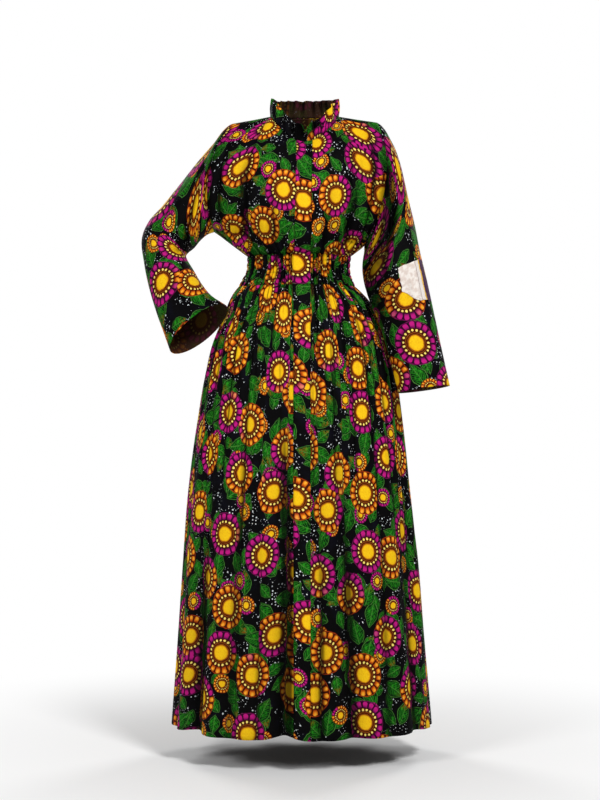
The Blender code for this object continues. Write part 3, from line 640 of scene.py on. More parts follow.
def armhole_point(sleeve, turn):
    """A point of the armhole; the turn is 0 at the shoulder and 180 underarm."""
    share = (1 - np.cos(turn)) / 2
    x = sleeve["outer_x"][0] + (sleeve["inner_x"][0] - sleeve["outer_x"][0]) * share
    z = sleeve["outer_z"][0] + (sleeve["inner_z"][0] - sleeve["outer_z"][0]) * share
    x = x + sleeve["swell"][0] * np.sin(turn) ** 2
    y = sleeve["middle_y"][0] - sleeve["half_depth"][0] * np.sin(turn)
    return stacked(x, y, z)


def bodice_edges(sleeve, side, facing, centre, across, up):
    """The four edges of one quarter of the bodice. Facing is -1 in front."""
    start_angle = 0.0 if facing < 0 else side * pi
    side_angle = side * pi / 2
    angle = start_angle + (side_angle - start_angle) * across
    bottom = stacked(*ring_place(WAIST_SECTIONS, WAIST_TOP, angle), -WAIST_TOP)

    neck_share = np.clip(across / NECKLINE_SHARE, 0, 1)
    shoulder_share = np.clip((across - NECKLINE_SHARE) / (1 - NECKLINE_SHARE), 0, 1)[:, None]
    top = neckline_point(start_angle + (side_angle - start_angle) * neck_share)
    top = top + (armhole_point(sleeve, 0.0) - top) * shoulder_share

    places = np.linspace(0, 1, len(centre["drop"]))
    drop = smooth_curve(places, centre["drop"], up)
    reach = smooth_curve(places, centre["reach"], up)
    middle = stacked(top[0, 0] * up, facing * reach, -drop)
    middle[0] = bottom[0]
    middle[-1] = top[0]

    low = np.clip(up / SIDE_SEAM_SHARE, 0, 1)[:, None]
    high = np.clip((up - SIDE_SEAM_SHARE) / (1 - SIDE_SEAM_SHARE), 0, 1)
    edge = armhole_point(sleeve, pi * (1 - high))
    edge[:, 1] *= -facing
    edge = bottom[-1] + (edge - bottom[-1]) * low
    return bottom, top, middle, edge


def bodice_fold(side, facing, across, up):
    """Sum of the depths of the bodice's folds at each place."""
    offset = np.zeros(np.broadcast(across, up).shape)
    for fold_side, place, height, depth, width, tall, drift in rows_of(BODICE_FOLDS):
        if fold_side == side:
            middle = place + drift * (up - height)
            offset = offset + depth * valley(across - middle, width) * bump(up - height, tall)
    return offset * (1.0 if facing < 0 else BACK_FOLD_SHARE)


def bodice_gathers(flat, up, seed):
    """Gathers that rise from the waist seam, and the cloth in their creases."""
    height = np.zeros(np.broadcast(flat, up).shape)
    taken_up = np.zeros_like(height)
    for pitch, size, share, gone in rows_of(BODICE_GATHERS):
        drift = 0.4 * wander(up * 3, seed + 3) * wander(flat / (3 * pitch), seed + 4)
        place = gather_place(flat, pitch, seed) + drift
        reach = gone * (1 + 0.35 * wander(flat / (1.4 * pitch), seed + 1))
        fade = 1 - smooth_step(0.1 * gone, reach, up)
        height = height + size * gather_ridge(place, flat, pitch, seed + 2) * fade
        taken_up = taken_up + crease_run(place, pitch, share) * fade
    return height, taken_up


def spread_columns(line, band):
    """Respace a row of points, the first columns over the width of the band."""
    lengths = np.concatenate([[0.0], np.cumsum(np.linalg.norm(np.diff(line, axis=0), axis=1))])
    columns = len(line) - 1
    if band:
        wanted = np.concatenate([
            np.linspace(0, BAND_HALF_WIDTH, BAND_COLUMNS + 1),
            np.linspace(BAND_HALF_WIDTH, lengths[-1], columns - BAND_COLUMNS + 1)[1:],
        ])
    else:
        wanted = np.linspace(0, lengths[-1], columns + 1)
    return stacked(*(np.interp(wanted, lengths, places) for places in line.T)), wanted


def bodice_quarter(sleeve, side, facing, centre, seed):
    """A patch between the four edges, filled out, gathered low and softly folded."""
    across_line = np.linspace(0, 1, BODICE_COLUMNS + 1)
    up_line = np.linspace(0, 1, BODICE_ROWS + 1)
    bottom, top, middle, edge = bodice_edges(sleeve, side, facing, centre, across_line, up_line)
    across = across_line[None, :]
    up = up_line[:, None]
    blend = smooth_step(0.0, 1.0, across)[..., None]
    ends = (1 - blend) * middle[:, None] + blend * edge[:, None]
    low = (1 - blend) * bottom[0] + blend * bottom[-1]
    high = (1 - blend) * top[0] + blend * top[-1]
    rise = up[..., None]
    points = ends + (1 - rise) * (bottom[None] - low) + rise * (top[None] - high)

    inside = np.sin(pi * across) * np.sin(pi * up)
    outward = unit(points * (1.0, 1.5, 0.0))
    points = points + outward * (BODICE_FULLNESS * inside * smooth_step(0.0, 0.3, across))[..., None]
    width = np.zeros(points.shape[:2])
    for row in range(BODICE_ROWS + 1):
        points[row], width[row] = spread_columns(points[row], facing < 0)

    # Full at the waist seam and flat over the upper chest
    share = width / width[:, -1:]
    full = 1 + (BODICE_FLAT_QUARTER / width[0, -1] - 1) * (1 - smooth_step(0.0, BODICE_EASES_OVER, up))
    flat = share * BODICE_FLAT_QUARTER
    normals = grid_normals(points) * (-side * facing)
    clear = clear_of_band(points[..., 0], points[..., 1]) if facing < 0 else 1.0
    edges = np.minimum(1.0, 8 * (1 - share)) * clear
    gathers, taken_up = bodice_gathers(flat, up, seed)
    folds = bodice_fold(side, facing, share, up) * np.minimum(1.0, inside * 2.5)
    points = points + normals * (gathers * edges - folds)[..., None]
    high = np.clip((up - SIDE_SEAM_SHARE) / (1 - SIDE_SEAM_SHARE), 0, 1)
    crease = ARMHOLE_CREASE * np.sin(pi * high) ** 2 * bump(1 - share, ARMHOLE_CREASE_ACROSS)
    points[..., 1] -= facing * crease
    run = side * facing * (width * full + taken_up * edges)
    deep = np.maximum(FOLD_SHADE * crease / ARMHOLE_CREASE, FOLD_SHADE * folds / BODICE_FOLD_DEPTH)
    deep = np.maximum(deep, SEAM_SHADE * bump(up, BODICE_SEAM_WIDTH))
    return points, stacked(-run, lengths_along(points, 0), deep)


# The sleeves

def sleeve_fold(folds, along, around):
    """Sum of the depths of the folds at each place."""
    offset = np.zeros(np.broadcast(along, around).shape)
    for place, start, depth, length, width, turn in rows_of(folds):
        apart = (around - start - turn * (along - place) + 180) % 360 - 180
        offset = offset + depth * valley(apart, width) * bump(along - place, length)
    return offset


def sleeve_form(sleeve, folds, side, along_line, turn):
    """Points of the sleeve at each place along it and turn around it."""
    places = np.linspace(0, 1, len(sleeve["outer_x"]))
    shoulder_slope = LEFT_SHOULDER_SLOPE if side > 0 else RIGHT_SHOULDER_SLOPE

    def line(end, at):
        names = (end + "_x", "middle_y", end + "_z")
        starts = shoulder_slope if end == "outer" else (None, None, None)
        return stacked(*(
            smooth_curve(places, sleeve[name], at, start) for name, start in zip(names, starts)
        ))

    top = line("outer", along_line)
    low = line("inner", along_line)
    middle = (top + low) / 2
    half = (top - low) / 2
    ahead = np.minimum(1.0, along_line + SLEEVE_RUN_REACH)
    behind = np.maximum(0.0, along_line - SLEEVE_RUN_REACH)
    run = line("outer", ahead) + line("inner", ahead) - line("outer", behind) - line("inner", behind)
    deep = unit(np.cross(run, half)) * side
    square = np.array([0.0, -1.0, 0.0])
    turned_square = smooth_step(*SLEEVE_TURNS_SQUARE, along_line)[:, None]
    deep = unit(square + (deep - square) * turned_square)
    half_depth = smooth_curve(places, sleeve["half_depth"], along_line)
    swell = smooth_curve(places, sleeve["swell"], along_line)

    turn = turn[None, :]
    fold = sleeve_fold(folds, along_line[:, None], np.degrees(turn))
    fold = fold * smooth_step(*SLEEVE_FOLDS_SET_IN, along_line)[:, None]
    depth = (half_depth[:, None] - fold) * np.sin(turn)
    points = middle[:, None] + half[:, None] * np.cos(turn)[..., None]
    points = points + deep[:, None] * depth[..., None]
    points[..., 0] += swell[:, None] * np.sin(turn) ** 2
    crease = ARMHOLE_CREASE * bump(along_line, ARMHOLE_CREASE_ALONG)[:, None]
    points[..., 1] += crease * np.sin(turn) * np.abs(np.sin(turn))
    return points


def sleeve_grid(sleeve, folds, shades, side, print_start):
    """The sleeve open at its underarm seam, with its place on the flat cloth."""
    along = np.linspace(0, 1, SLEEVE_ROWS + 1)
    turn = np.linspace(-pi, pi, SLEEVE_COLUMNS + 1)
    points = sleeve_form(sleeve, folds, side, along, turn)
    girth = lengths_along(points, 1)[:, -1:]
    run = lengths_along(points, 0).mean(axis=1, keepdims=True)
    around = np.degrees(turn)[None, :]
    crease = bump(along, ARMHOLE_CREASE_ALONG)[:, None] * np.sin(turn) ** 2
    fold = sleeve_fold(folds, along[:, None], around) / SLEEVE_FOLD_DEPTH
    shade = sleeve_fold(shades, along[:, None], around)
    return points, stacked(
        print_start[0] + turn[None, :] / (2 * pi) * girth,
        print_start[1] - run,
        np.maximum(shade, FOLD_SHADE * np.maximum(crease, fold)),
    )


# The ruffle

def ruffle_grid():
    """The neck ruffle, from its seam up, all round; its ends lap at the front."""
    angle = np.linspace(-RUFFLE_LAP, 2 * pi + RUFFLE_LAP, RUFFLE_COLUMNS + 1)
    level = stacked(np.sin(angle), -np.cos(angle), 0.0)
    upright = np.array([0.0, 0.0, 1.0])
    from_front = np.minimum(np.abs(angle), np.abs(2 * pi - angle))
    flop = smooth_step(RUFFLE_FRONT_ANGLE, 0.0, from_front)
    wave_place = RUFFLE_WAVES * angle + 1.6 * wander(angle * 3.1, 71)
    uneven = 1.0 + RUFFLE_UNEVENNESS * wander(angle * 5.0, 72)
    heights = np.linspace(0, RUFFLE_RISE["height"][-1], RUFFLE_ROWS + 1)
    apart = RUFFLE_LAP_APART * (angle / pi - 1.0) * flop
    point = neckline_point(angle) + level * apart[:, None]
    points = [point]
    for row in range(1, RUFFLE_ROWS + 1):
        height = heights[row]
        lean, front_lean, wave = (
            np.interp(height, RUFFLE_RISE["height"], RUFFLE_RISE[name])
            for name in ("lean", "front_lean", "wave")
        )
        lean = np.radians(lean + front_lean * flop)[:, None]
        point = point + (level * np.sin(lean) + upright * np.cos(lean)) * (heights[1] - heights[0])
        across = level * np.cos(lean) - upright * np.sin(lean)
        swing = np.cos(wave_place) + 0.35 * np.cos(2 * wave_place + 1.0)
        sag = RUFFLE_SAG_SHARE * wave * (np.cos(wave_place + 0.8) + wander(angle * 4.0, 73))
        wavy = across * (wave * swing * uneven)[:, None] - upright * sag[:, None]
        points.append(point + wavy)
    start, foot = RUFFLE_PRINT_START
    around = start + angle / (2 * pi) * RUFFLE_FLAT_LENGTH
    heights = heights[:, None]
    return np.array(points), stacked(around, foot + heights, SEAM_SHADE * bump(heights, 0.004))


# Making the pieces

def add_object(name, data):
    added = bpy.data.objects.new(name, data)
    bpy.context.scene.collection.objects.link(added)
    return added


def cloth_piece(node, points, cloth, materials, slot="wax_print_cotton"):
    """A thin shell on a grid of points, its face outward and its reverse inward.

    The cloth's three numbers are the two of its flat place and how dark the shade painted into its
    colour is there."""
    index = np.arange(cloth[..., 0].size).reshape(cloth.shape[:2])
    faces = stacked(index[:-1, :-1], index[:-1, 1:], index[1:, 1:], index[1:, :-1])
    mesh = bpy.data.meshes.new(node + "_cloth")
    mesh.from_pydata(points.reshape(-1, 3).tolist(), [], faces.reshape(-1, 4).tolist())
    places = mesh.attributes.new("cloth", "FLOAT_VECTOR", "POINT")
    places.data.foreach_set("vector", (cloth * (1.0, 1.0, 0.0)).ravel())
    # Painted shade: the colour is darkened where the cloth lies deep in a crease, fold or seam, or in
    # the shade of the body
    painted_shade = mesh.attributes.new("painted_shade", "FLOAT", "POINT")
    deep = np.clip(hollows(points) + cloth[..., 2], 0.0, 1.0)
    painted_shade.data.foreach_set("value", deep.ravel())
    mesh.shade_smooth()
    for material in materials:
        mesh.materials.append(material)
    piece = add_object(node + "_cloth", mesh)
    shell = piece.modifiers.new("thickness", "SOLIDIFY")
    shell.thickness = CLOTH_THICKNESS
    shell.offset = -1.0
    shell.material_offset = 1
    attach(piece, "root")
    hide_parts(node)
    return piece


# Shader helpers

def put(node, inputs):
    """Set inputs of a node, or link them where the value is another node's output."""
    for key, value in inputs.items():
        if isinstance(value, bpy.types.NodeSocket):
            node.id_data.links.new(value, node.inputs[key])
        else:
            node.inputs[key].default_value = value


def add_node(kind, inputs, **settings):
    """Add a node to the tree that its inputs come from."""
    tree = next(v.id_data for v in inputs.values() if isinstance(v, bpy.types.NodeSocket))
    node = tree.nodes.new(kind)
    for name, value in settings.items():
        setattr(node, name, value)
    put(node, inputs)
    return node


def attribute(tree, name):
    node = tree.nodes.new("ShaderNodeAttribute")
    node.attribute_name = name
    return node.outputs


def maths(operation, *values):
    return add_node("ShaderNodeMath", dict(enumerate(values)), operation=operation).outputs[0]


def times(one, other):
    return maths("MULTIPLY", one, other)


def vectors(operation, *values):
    node = add_node("ShaderNodeVectorMath", dict(enumerate(values)), operation=operation)
    return node.outputs["Value" if operation == "LENGTH" else "Vector"]


def fade(value, start, end):
    """0 at the start and 1 at the end, smooth between."""
    inputs = {"Value": value, "From Min": start, "From Max": end}
    return add_node("ShaderNodeMapRange", inputs, interpolation_type="SMOOTHSTEP").outputs["Result"]


def colours(share, below, above):
    """A mix of two colours, by the mix node's inputs and output for colours."""
    return add_node("ShaderNodeMix", {0: share, 6: below, 7: above}, data_type="RGBA").outputs[2]


def layered(below, *layers):
    """Lay colours over each other, each one as its value goes from start to end."""
    for value, start, end, colour in layers:
        below = colours(fade(value, start, end), below, colour)
    return below


def split(vector):
    return add_node("ShaderNodeSeparateXYZ", {0: vector}).outputs


def join(x, y, z=0.0):
    return add_node("ShaderNodeCombineXYZ", {0: x, 1: y, 2: z}).outputs[0]


def turned(vector, angle):
    inputs = {"Vector": vector, "Angle": angle}
    return add_node("ShaderNodeVectorRotate", inputs, rotation_type="Z_AXIS").outputs[0]


def noise(place, size, detail=2.0):
    inputs = {"Vector": place, "Scale": 1.0 / size, "Detail": detail}
    return add_node("ShaderNodeTexNoise", inputs, noise_dimensions="2D").outputs


def scattered(place, pitch, randomness):
    """Nearest of a loose field of places: the way from it, and its random values."""
    inputs = {"Vector": place, "Scale": 1.0 / pitch, "Randomness": randomness}
    found = add_node("ShaderNodeTexVoronoi", inputs, voronoi_dimensions="2D").outputs
    return vectors("SUBTRACT", place, found["Position"]), split(found["Color"])


# The wax print

GROUND = (0.001, 0.0008, 0.0012, 1)
GROUND_NAVY = (0.0024, 0.0024, 0.006, 1)
DISC_YELLOW = (0.9, 0.56, 0.008, 1)
DISC_ORANGE = (0.72, 0.28, 0.006, 1)
RED_BROWN = (0.06, 0.006, 0.001, 1)
RING_ORANGE = (0.26, 0.06, 0.003, 1)
BEAD = (0.95, 0.74, 0.16, 1)
MAGENTA = (0.5, 0.01, 0.2, 1)
MAGENTA_DARK = (0.15, 0.003, 0.075, 1)
PLUM = (0.026, 0.001, 0.016, 1)
ORANGE = (0.76, 0.18, 0.006, 1)
ORANGE_LIGHT = (0.92, 0.42, 0.03, 1)
ORANGE_DARK = (0.34, 0.034, 0.002, 1)
LEAF = (0.006, 0.082, 0.004, 1)
LEAF_BRIGHT = (0.018, 0.24, 0.01, 1)
LEAF_DARK = (0.001, 0.011, 0.002, 1)
LEAF_EDGE = (0.06, 0.21, 0.03, 1)
LEAF_RUST = (0.26, 0.04, 0.003, 1)
DOT_PALE = (0.7, 0.76, 0.78, 1)
# Colour of the reverse under its faint print: partly the reverse's own dull brown and partly painted
# shade of the inside of the dress
REVERSE_BROWN_AND_SHADE = (0.03, 0.013, 0.007, 1)

PETALS = 17
BEADS = 19
BEAD_RING = 0.575
VEIN_PITCH = 0.006

# Flowers, small ones first: pitch, how loosely they lie, part of their places left
# empty, radius, and the turn and start of their field
FLOWERS = (
    (0.08, 0.85, 0.36, 0.0205, 1.15, (0.33, 0.09, 0.0)),
    (0.126, 0.5, 0.0, 0.0475, 0.42, (0.02, 0.05, 0.0)),
)

# Leaves, small ones first: pitch, half length, half width and start of their field
LEAVES = (
    (0.058, 0.022, 0.013, (0.31, 0.17, 0.0)),
    (0.07, 0.03, 0.018, (0.05, 0.43, 0.0)),
)


def flower(below, way, chance, radius, present):
    """Draw one flower over the colours below it. Its rim is 1 out from its middle."""
    out = maths("DIVIDE", vectors("LENGTH", way), radius)
    x, y, _ = split(way)
    turn = maths("DIVIDE", maths("ARCTAN2", y, x), 2 * pi)
    turn = maths("ADD", turn, chance[1])

    # Petals: a wedge each, dark between them
    count = times(turn, PETALS)
    wedge = maths("ABSOLUTE", maths("SUBTRACT", maths("FRACT", count), 0.5))
    which = maths("DIVIDE", maths("FLOOR", count), PETALS)
    swing = maths("COSINE", times(which, 2 * pi))
    pink = fade(maths("MULTIPLY_ADD", swing, 0.30, chance[0]), 0.52, 0.56)
    light = colours(pink, ORANGE, MAGENTA)
    dark = colours(pink, ORANGE_DARK, MAGENTA_DARK)
    petal = layered(dark, (out, 0.68, 0.84, light))
    glow = times(fade(wedge, 0.26, 0.08), fade(out, 0.74, 0.88))
    petal = colours(glow, petal, colours(pink, ORANGE_LIGHT, MAGENTA))
    tip = maths("MULTIPLY_ADD", maths("POWER", wedge, 3.0), -1.3, 0.955)
    end = fade(maths("SUBTRACT", out, tip), 0.014, -0.014)
    shown = times(fade(wedge, 0.39, 0.30), end)
    shown = times(shown, fade(out, 0.665, 0.71))
    drawn = colours(shown, colours(pink, RED_BROWN, PLUM), petal)

    # Beads on a dark ring
    bead_turn = maths("FRACT", times(turn, BEADS))
    bead_pitch = 2 * pi * BEAD_RING / BEADS
    bead_x = times(maths("SUBTRACT", bead_turn, 0.5), bead_pitch)
    bead_y = times(maths("SUBTRACT", out, BEAD_RING), 0.9)
    bead_far = vectors("LENGTH", join(bead_x, bead_y))

    disc = layered(DISC_YELLOW, (noise(way, 0.004)[0], 0.40, 0.70, DISC_ORANGE))
    disc = layered(colours(0.35, DISC_YELLOW, disc), (out, 0.26, 0.36, DISC_ORANGE))
    drawn = layered(
        drawn,
        (out, 0.665, 0.645, RED_BROWN),
        (bead_far, 0.060, 0.042, BEAD),
        (out, 0.485, 0.470, RING_ORANGE),
        (out, 0.455, 0.440, RED_BROWN),
        (out, 0.405, 0.385, RING_ORANGE),
        (out, 0.350, 0.335, disc),
        (out, 0.955, 0.975, dark),
    )
    return colours(times(fade(out, 1.012, 0.992), present), below, drawn)


def leaf(below, way, chance, half_length, half_width):
    """Draw one pointed leaf over the colours below it. Its edge is 1 out."""
    x, y, _ = split(turned(way, times(chance[0], 2 * pi)))
    along = maths("DIVIDE", x, half_length)
    apart = maths("ABSOLUTE", y)
    taper = maths("POWER", maths("ABSOLUTE", along), 1.8)
    wide = maths("MULTIPLY_ADD", along, -0.30 * half_width, half_width)
    out = maths("ADD", maths("DIVIDE", apart, wide), taper)

    vein_place = maths("MULTIPLY_ADD", apart, -0.9, x)
    vein = maths("FRACT", maths("DIVIDE", vein_place, VEIN_PITCH))
    vein = maths("ABSOLUTE", maths("SUBTRACT", vein, 0.5))
    mottle = noise(way, 0.0075, 3.0)[0]
    rust = times(fade(along, 0.0, 0.7), fade(chance[2], 0.62, 0.70))
    rust = times(rust, fade(mottle, 0.38, 0.56))
    body = layered(LEAF_DARK, (mottle, 0.36, 0.52, LEAF), (mottle, 0.54, 0.68, LEAF_BRIGHT))
    body = layered(
        colours(rust, body, LEAF_RUST),
        (vein, 0.12, 0.05, LEAF_BRIGHT),
        (apart, 0.0010, 0.0004, LEAF_EDGE),
        (out, 0.78, 0.84, LEAF_DARK),
        (out, 0.90, 0.94, LEAF_EDGE),
    )
    return layered(below, (out, 1.01, 0.98, body))


def wax_print():
    """The print as a node group, from a place on the flat cloth to its colour."""
    tree = bpy.data.node_groups.new("wax_print", "ShaderNodeTree")
    tree.interface.new_socket("Place", in_out="INPUT", socket_type="NodeSocketVector")
    tree.interface.new_socket("Colour", in_out="OUTPUT", socket_type="NodeSocketColor")
    place = tree.nodes.new("NodeGroupInput").outputs["Place"]

    # Lines drawn by hand are never quite true
    shake = vectors("SUBTRACT", noise(place, 0.010, 1.0)["Color"], (0.5, 0.5, 0.5))
    place = vectors("ADD", place, vectors("MULTIPLY", shake, (0.003, 0.003, 0.0)))

    # Pale dots in loose trails
    way, chance = scattered(place, 0.0074, 0.95)
    size = maths("MULTIPLY_ADD", maths("POWER", chance[0], 3.0), 0.0014, 0.0006)
    far = maths("DIVIDE", vectors("LENGTH", way), size)
    trail = fade(noise(place, 0.030, 1.0)[0], 0.52, 0.57)
    ink = layered(GROUND, (noise(place, 0.05)[0], 0.50, 0.80, GROUND_NAVY))
    ink = colours(times(fade(far, 1.1, 0.8), trail), ink, DOT_PALE)

    for pitch, half_length, half_width, start in LEAVES:
        field = vectors("ADD", turned(place, 0.5 + 10 * pitch), start)
        way, chance = scattered(field, pitch, 0.75)
        ink = leaf(ink, way, chance, half_length, half_width)

    for pitch, randomness, empty, radius, turn, start in FLOWERS:
        field = vectors("ADD", turned(place, turn), start)
        way, chance = scattered(field, pitch, randomness)
        ink = flower(ink, way, chance, radius, fade(chance[2], empty - 0.02, empty))
    put(tree.nodes.new("NodeGroupOutput"), {"Colour": ink})


def shaded(colour):
    """Deepen the colour in the creases, where little light gets in."""
    painted_shade = attribute(colour.id_data, "painted_shade")["Fac"]
    left = maths("MULTIPLY_ADD", painted_shade, -HOLLOW_SHADE, 1.0)
    return vectors("MULTIPLY", colour, join(left, left, left))


def weave(place, strength):
    """A plain weave of fine threads, as a bump."""
    x, y, _ = split(vectors("MULTIPLY", place, (2 * pi / THREAD_PITCH,) * 3))
    threads = times(maths("SINE", x), maths("SINE", y))
    height = maths("MULTIPLY_ADD", noise(place, 0.004, 3.0)[0], 2.0, threads)
    inputs = {"Strength": strength, "Distance": 0.0002, "Height": height}
    return add_node("ShaderNodeBump", inputs).outputs[0]


def new_material(name):
    material = bpy.data.materials.new(name)
    material.use_nodes = True
    return material, material.node_tree, material.node_tree.nodes["Principled BSDF"]


def cotton(name, tint, printed):
    """Matt woven cotton; printed is how much of the wax print shows on it."""
    material, tree, shader = new_material(name)
    place = attribute(tree, "cloth")["Vector"]
    ink = add_node("ShaderNodeGroup", {"Place": place}, node_tree=bpy.data.node_groups["wax_print"])
    worn = fade(noise(place, 0.03, 4.0)[0], 0.3, 0.8)
    put(shader, {
        "Base Color": shaded(colours(printed, tint, ink.outputs["Colour"])),
        "Roughness": maths("MULTIPLY_ADD", worn, 0.12, 0.62),
        "Specular IOR Level": 0.05,
        "Normal": weave(place, 0.25),
    })
    return material


def patch_cotton():
    """Blank cream cotton with a purple strip and a yellow line at its outer edge."""
    material, tree, shader = new_material("cream_patch_face")
    place = attribute(tree, "cloth")["Vector"]
    soil = noise(place, 0.012, 4.0)[0]
    wavy = noise(place, 0.009, 1.0)[0]
    from_edge = maths("MULTIPLY_ADD", wavy, 0.003, split(place)[0])
    base = layered(
        PATCH_SOILED,
        (soil, 0.38, 0.62, PATCH_CREAM),
        *((from_edge, edge, edge - PATCH_LINE_SOFTNESS, colour) for edge, colour in PATCH_STRIPES),
    )
    put(shader, {"Base Color": shaded(base), "Normal": weave(place, 0.3), "Roughness": 0.85})
    return material


# Camera, floor and light

def add_camera():
    data = bpy.data.cameras.new("camera")
    data.lens = CAMERA_LENS
    data.sensor_width = 36.0
    camera = add_object("camera", data)
    camera.location = CAMERA_PLACE
    camera.rotation_euler = (pi / 2, 0.0, 0.0)
    bpy.context.scene.camera = camera


def add_floor():
    """A pale floor that glows as white as the backdrop away from the dress."""
    size = FLOOR_HALF_SIZE
    corners = [(-size, -size, 0.0), (size, -size, 0.0), (size, size, 0.0), (-size, size, 0.0)]
    mesh = bpy.data.meshes.new("floor")
    mesh.from_pydata(corners, [], [(0, 1, 2, 3)])
    material, tree, shader = new_material("floor_paint")
    place = tree.nodes.new("ShaderNodeTexCoord").outputs["Object"]
    far = fade(vectors("LENGTH", place), *FLOOR_FADE)
    put(shader, {
        "Base Color": colours(far, FLOOR_PALE, (0, 0, 0, 1)),
        "Emission Strength": far,
        "Emission Color": (1, 1, 1, 1),
        "Roughness": 1.0,
        "Specular IOR Level": 0.0,
    })
    mesh.materials.append(material)
    floor = add_object("floor", mesh)
    floor.location = (0.0, 0.0, FLOOR_Z)


def add_light(name, place, size, power):
    """A round lamp that faces the middle of the dress."""
    data = bpy.data.lights.new(name, "AREA")
    data.shape = "DISK"
    data.size = size
    data.energy = power
    light = add_object(name, data)
    light.location = place
    away = np.array(place) - MIDDLE_OF_DRESS
    level = math.hypot(away[0], away[1])
    light.rotation_euler = (math.atan2(level, away[2]), 0.0, math.atan2(away[0], -away[1]))


def add_world():
    """A white studio: seen white, and dimmer as a light than as a background."""
    world = bpy.data.worlds.new("studio")
    world.use_nodes = True
    tree = world.node_tree
    seen = tree.nodes.new("ShaderNodeLightPath").outputs["Is Camera Ray"]
    strength = maths("MULTIPLY_ADD", seen, 1 - WORLD_LIGHT, WORLD_LIGHT)
    put(tree.nodes["Background"], {"Color": (1, 1, 1, 1), "Strength": strength})
    bpy.context.scene.world = world
    bpy.context.scene.view_settings.view_transform = "Standard"


# The dress

def add_panels(kind, make_panel, materials):
    """Add the three panels of the skirt or the waist, and give their points."""
    made = {}
    for panel in ("front_right", "front_left", "back"):
        made[panel], cloth = make_panel(panel)
        piece = cloth_piece(f"{kind}_{panel}", made[panel], cloth, materials)
    return made


def add_bodice(materials):
    """Add the two fronts and the back, and give the points of the fronts."""
    quarters = {}
    for side, sleeve in ((1, LEFT_SLEEVE), (-1, RIGHT_SLEEVE)):
        for facing, centre in ((-1, CENTRE_FRONT), (1, CENTRE_BACK)):
            seed = 100 + 20 * side + 5 * facing
            quarters[side, facing] = bodice_quarter(sleeve, side, facing, centre, seed)
    left = quarters[1, -1]
    right = [grid[:, ::-1] for grid in quarters[-1, -1]]
    halves = zip(quarters[1, 1], quarters[-1, 1])
    back = [np.concatenate([one[:, ::-1], other[:, 1:]], axis=1) for one, other in halves]
    for node, (points, cloth), start, flat in (
        ("bodice_front_left", left, 0.0, (0.25, 0.36)),
        ("bodice_front_right", right, 0.0, (0.25, 0.36)),
        ("bodice_back", back, 2 * BODICE_FLAT_QUARTER, (0.50, 0.37)),
    ):
        piece = cloth_piece(node, points, cloth + (start, BODICE_PRINT_START, 0.0), materials)
    return {"front_left": left[0], "front_right": right[0]}


def add_sleeves(materials):
    for node, sleeve, folds, shades, side, start in (
        ("sleeve_left", LEFT_SLEEVE, LEFT_SLEEVE_FOLDS, LEFT_SLEEVE_SHADES, 1, (0.52, 0.13)),
        ("sleeve_right", RIGHT_SLEEVE, RIGHT_SLEEVE_FOLDS, RIGHT_SLEEVE_SHADES, -1, (1.37, 0.07)),
    ):
        points, cloth = sleeve_grid(sleeve, folds, shades, side, start)
        piece = cloth_piece(node, points[:, ::side], cloth[:, ::side], materials)


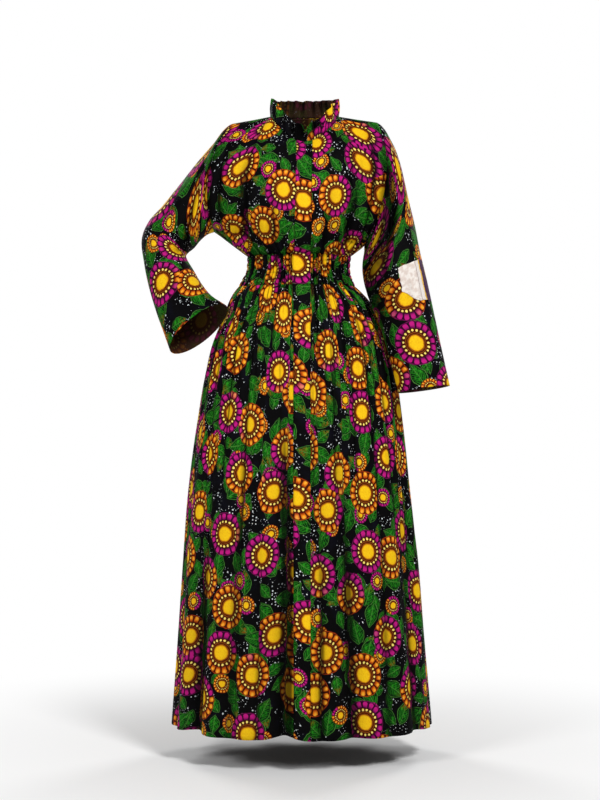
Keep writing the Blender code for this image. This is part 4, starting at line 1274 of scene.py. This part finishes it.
def add_patch(materials):
    """The patch, on the sleeve, with its lower inner corner cut off and its edges worn."""
    along = np.linspace(*PATCH_ALONG, PATCH_STEPS + 1)
    turn = np.linspace(*PATCH_AROUND, PATCH_STEPS + 1)
    points = sleeve_form(LEFT_SLEEVE, LEFT_SLEEVE_FOLDS, 1, along, turn)
    points = points + grid_normals(points) * PATCH_LIFT
    across = np.linspace(0, 1, PATCH_STEPS + 1)[None, :]
    down = np.linspace(0, 1, PATCH_STEPS + 1)[:, None]
    raised = 0.0005 * wander(across * 9 + down * 4, 81)
    for middle, slant, height, half_width in rows_of(PATCH_CREASES):
        raised = raised + height * bump(across - middle - slant * down, half_width)
    points = points + grid_normals(points) * raised[..., None]

    # Draw the columns in towards the strip where the corner is cut off
    cut = np.clip((down - PATCH_CORNER_START) / (1 - PATCH_CORNER_START), 0, 1)
    end = 1 - PATCH_CORNER_WIDTH * cut - 0.015 * (1 + wander(down * 14, 82))
    wanted = across * end * PATCH_STEPS
    low = np.clip(wanted.astype(int), 0, PATCH_STEPS - 1)
    share = (wanted - low)[..., None]
    rows = np.arange(PATCH_STEPS + 1)[:, None]
    points = points[rows, low] * (1 - share) + points[rows, low + 1] * share
    points[..., 2] += 0.0012 * wander(across * 11, 83) * (bump(down, 0.08) - bump(down - 1, 0.08))
    cloth = stacked(lengths_along(points, 1), lengths_along(points, 0), 0.0)
    piece = cloth_piece("sleeve_patch", points, cloth, materials, "cream_patch_cotton")


def add_ruffle(materials):
    piece = cloth_piece("neck_ruffle", *ruffle_grid(), materials)


def add_band(materials, *fronts):
    """The closing band, from the middle columns of the fronts, moved out."""
    points = np.concatenate([
        np.concatenate([
            made["front_right"][:, -1 - BAND_COLUMNS:-1],
            made["front_left"][:, :BAND_COLUMNS + 1],
        ], axis=1)
        for made in fronts
    ])
    points = points + grid_normals(points) * BAND_LIFT
    across = np.linspace(-BAND_HALF_WIDTH, BAND_HALF_WIDTH, points.shape[1])
    edge = BAND_EDGE_SHADE * bump(np.abs(across) - BAND_HALF_WIDTH, BAND_EDGE_WIDTH)
    start, foot = BAND_PRINT_START
    cloth = stacked(start + across, foot + lengths_along(points, 0), edge)
    piece = cloth_piece("front_band", points, cloth, materials)


add_camera()
add_world()
add_floor()
add_light("key", (1.6, -3.0, 2.0), 1.0, 120.0)
add_light("fill", (-2.4, -2.6, 0.9), 1.2, 48.0)
add_light("back_right", (-2.0, 2.6, 1.2), 1.4, 45.0)
add_light("back_left", (2.0, 2.6, 1.2), 1.4, 45.0)

wax_print()
face = cotton("wax_print_face", REVERSE_BROWN_AND_SHADE, 1.0)
# The reverse is made dark partly by painted shade of the inside of the dress
reverse = cotton("wax_print_reverse", REVERSE_BROWN_AND_SHADE, 0.07)
printed = [face, reverse]
skirt = add_panels("skirt", skirt_panel, printed)
waist = add_panels("waist", waist_panel, printed)
bodice = add_bodice(printed)
add_sleeves(printed)
add_patch([patch_cotton(), reverse])
add_ruffle(printed)
add_band(printed, skirt, waist, bodice)
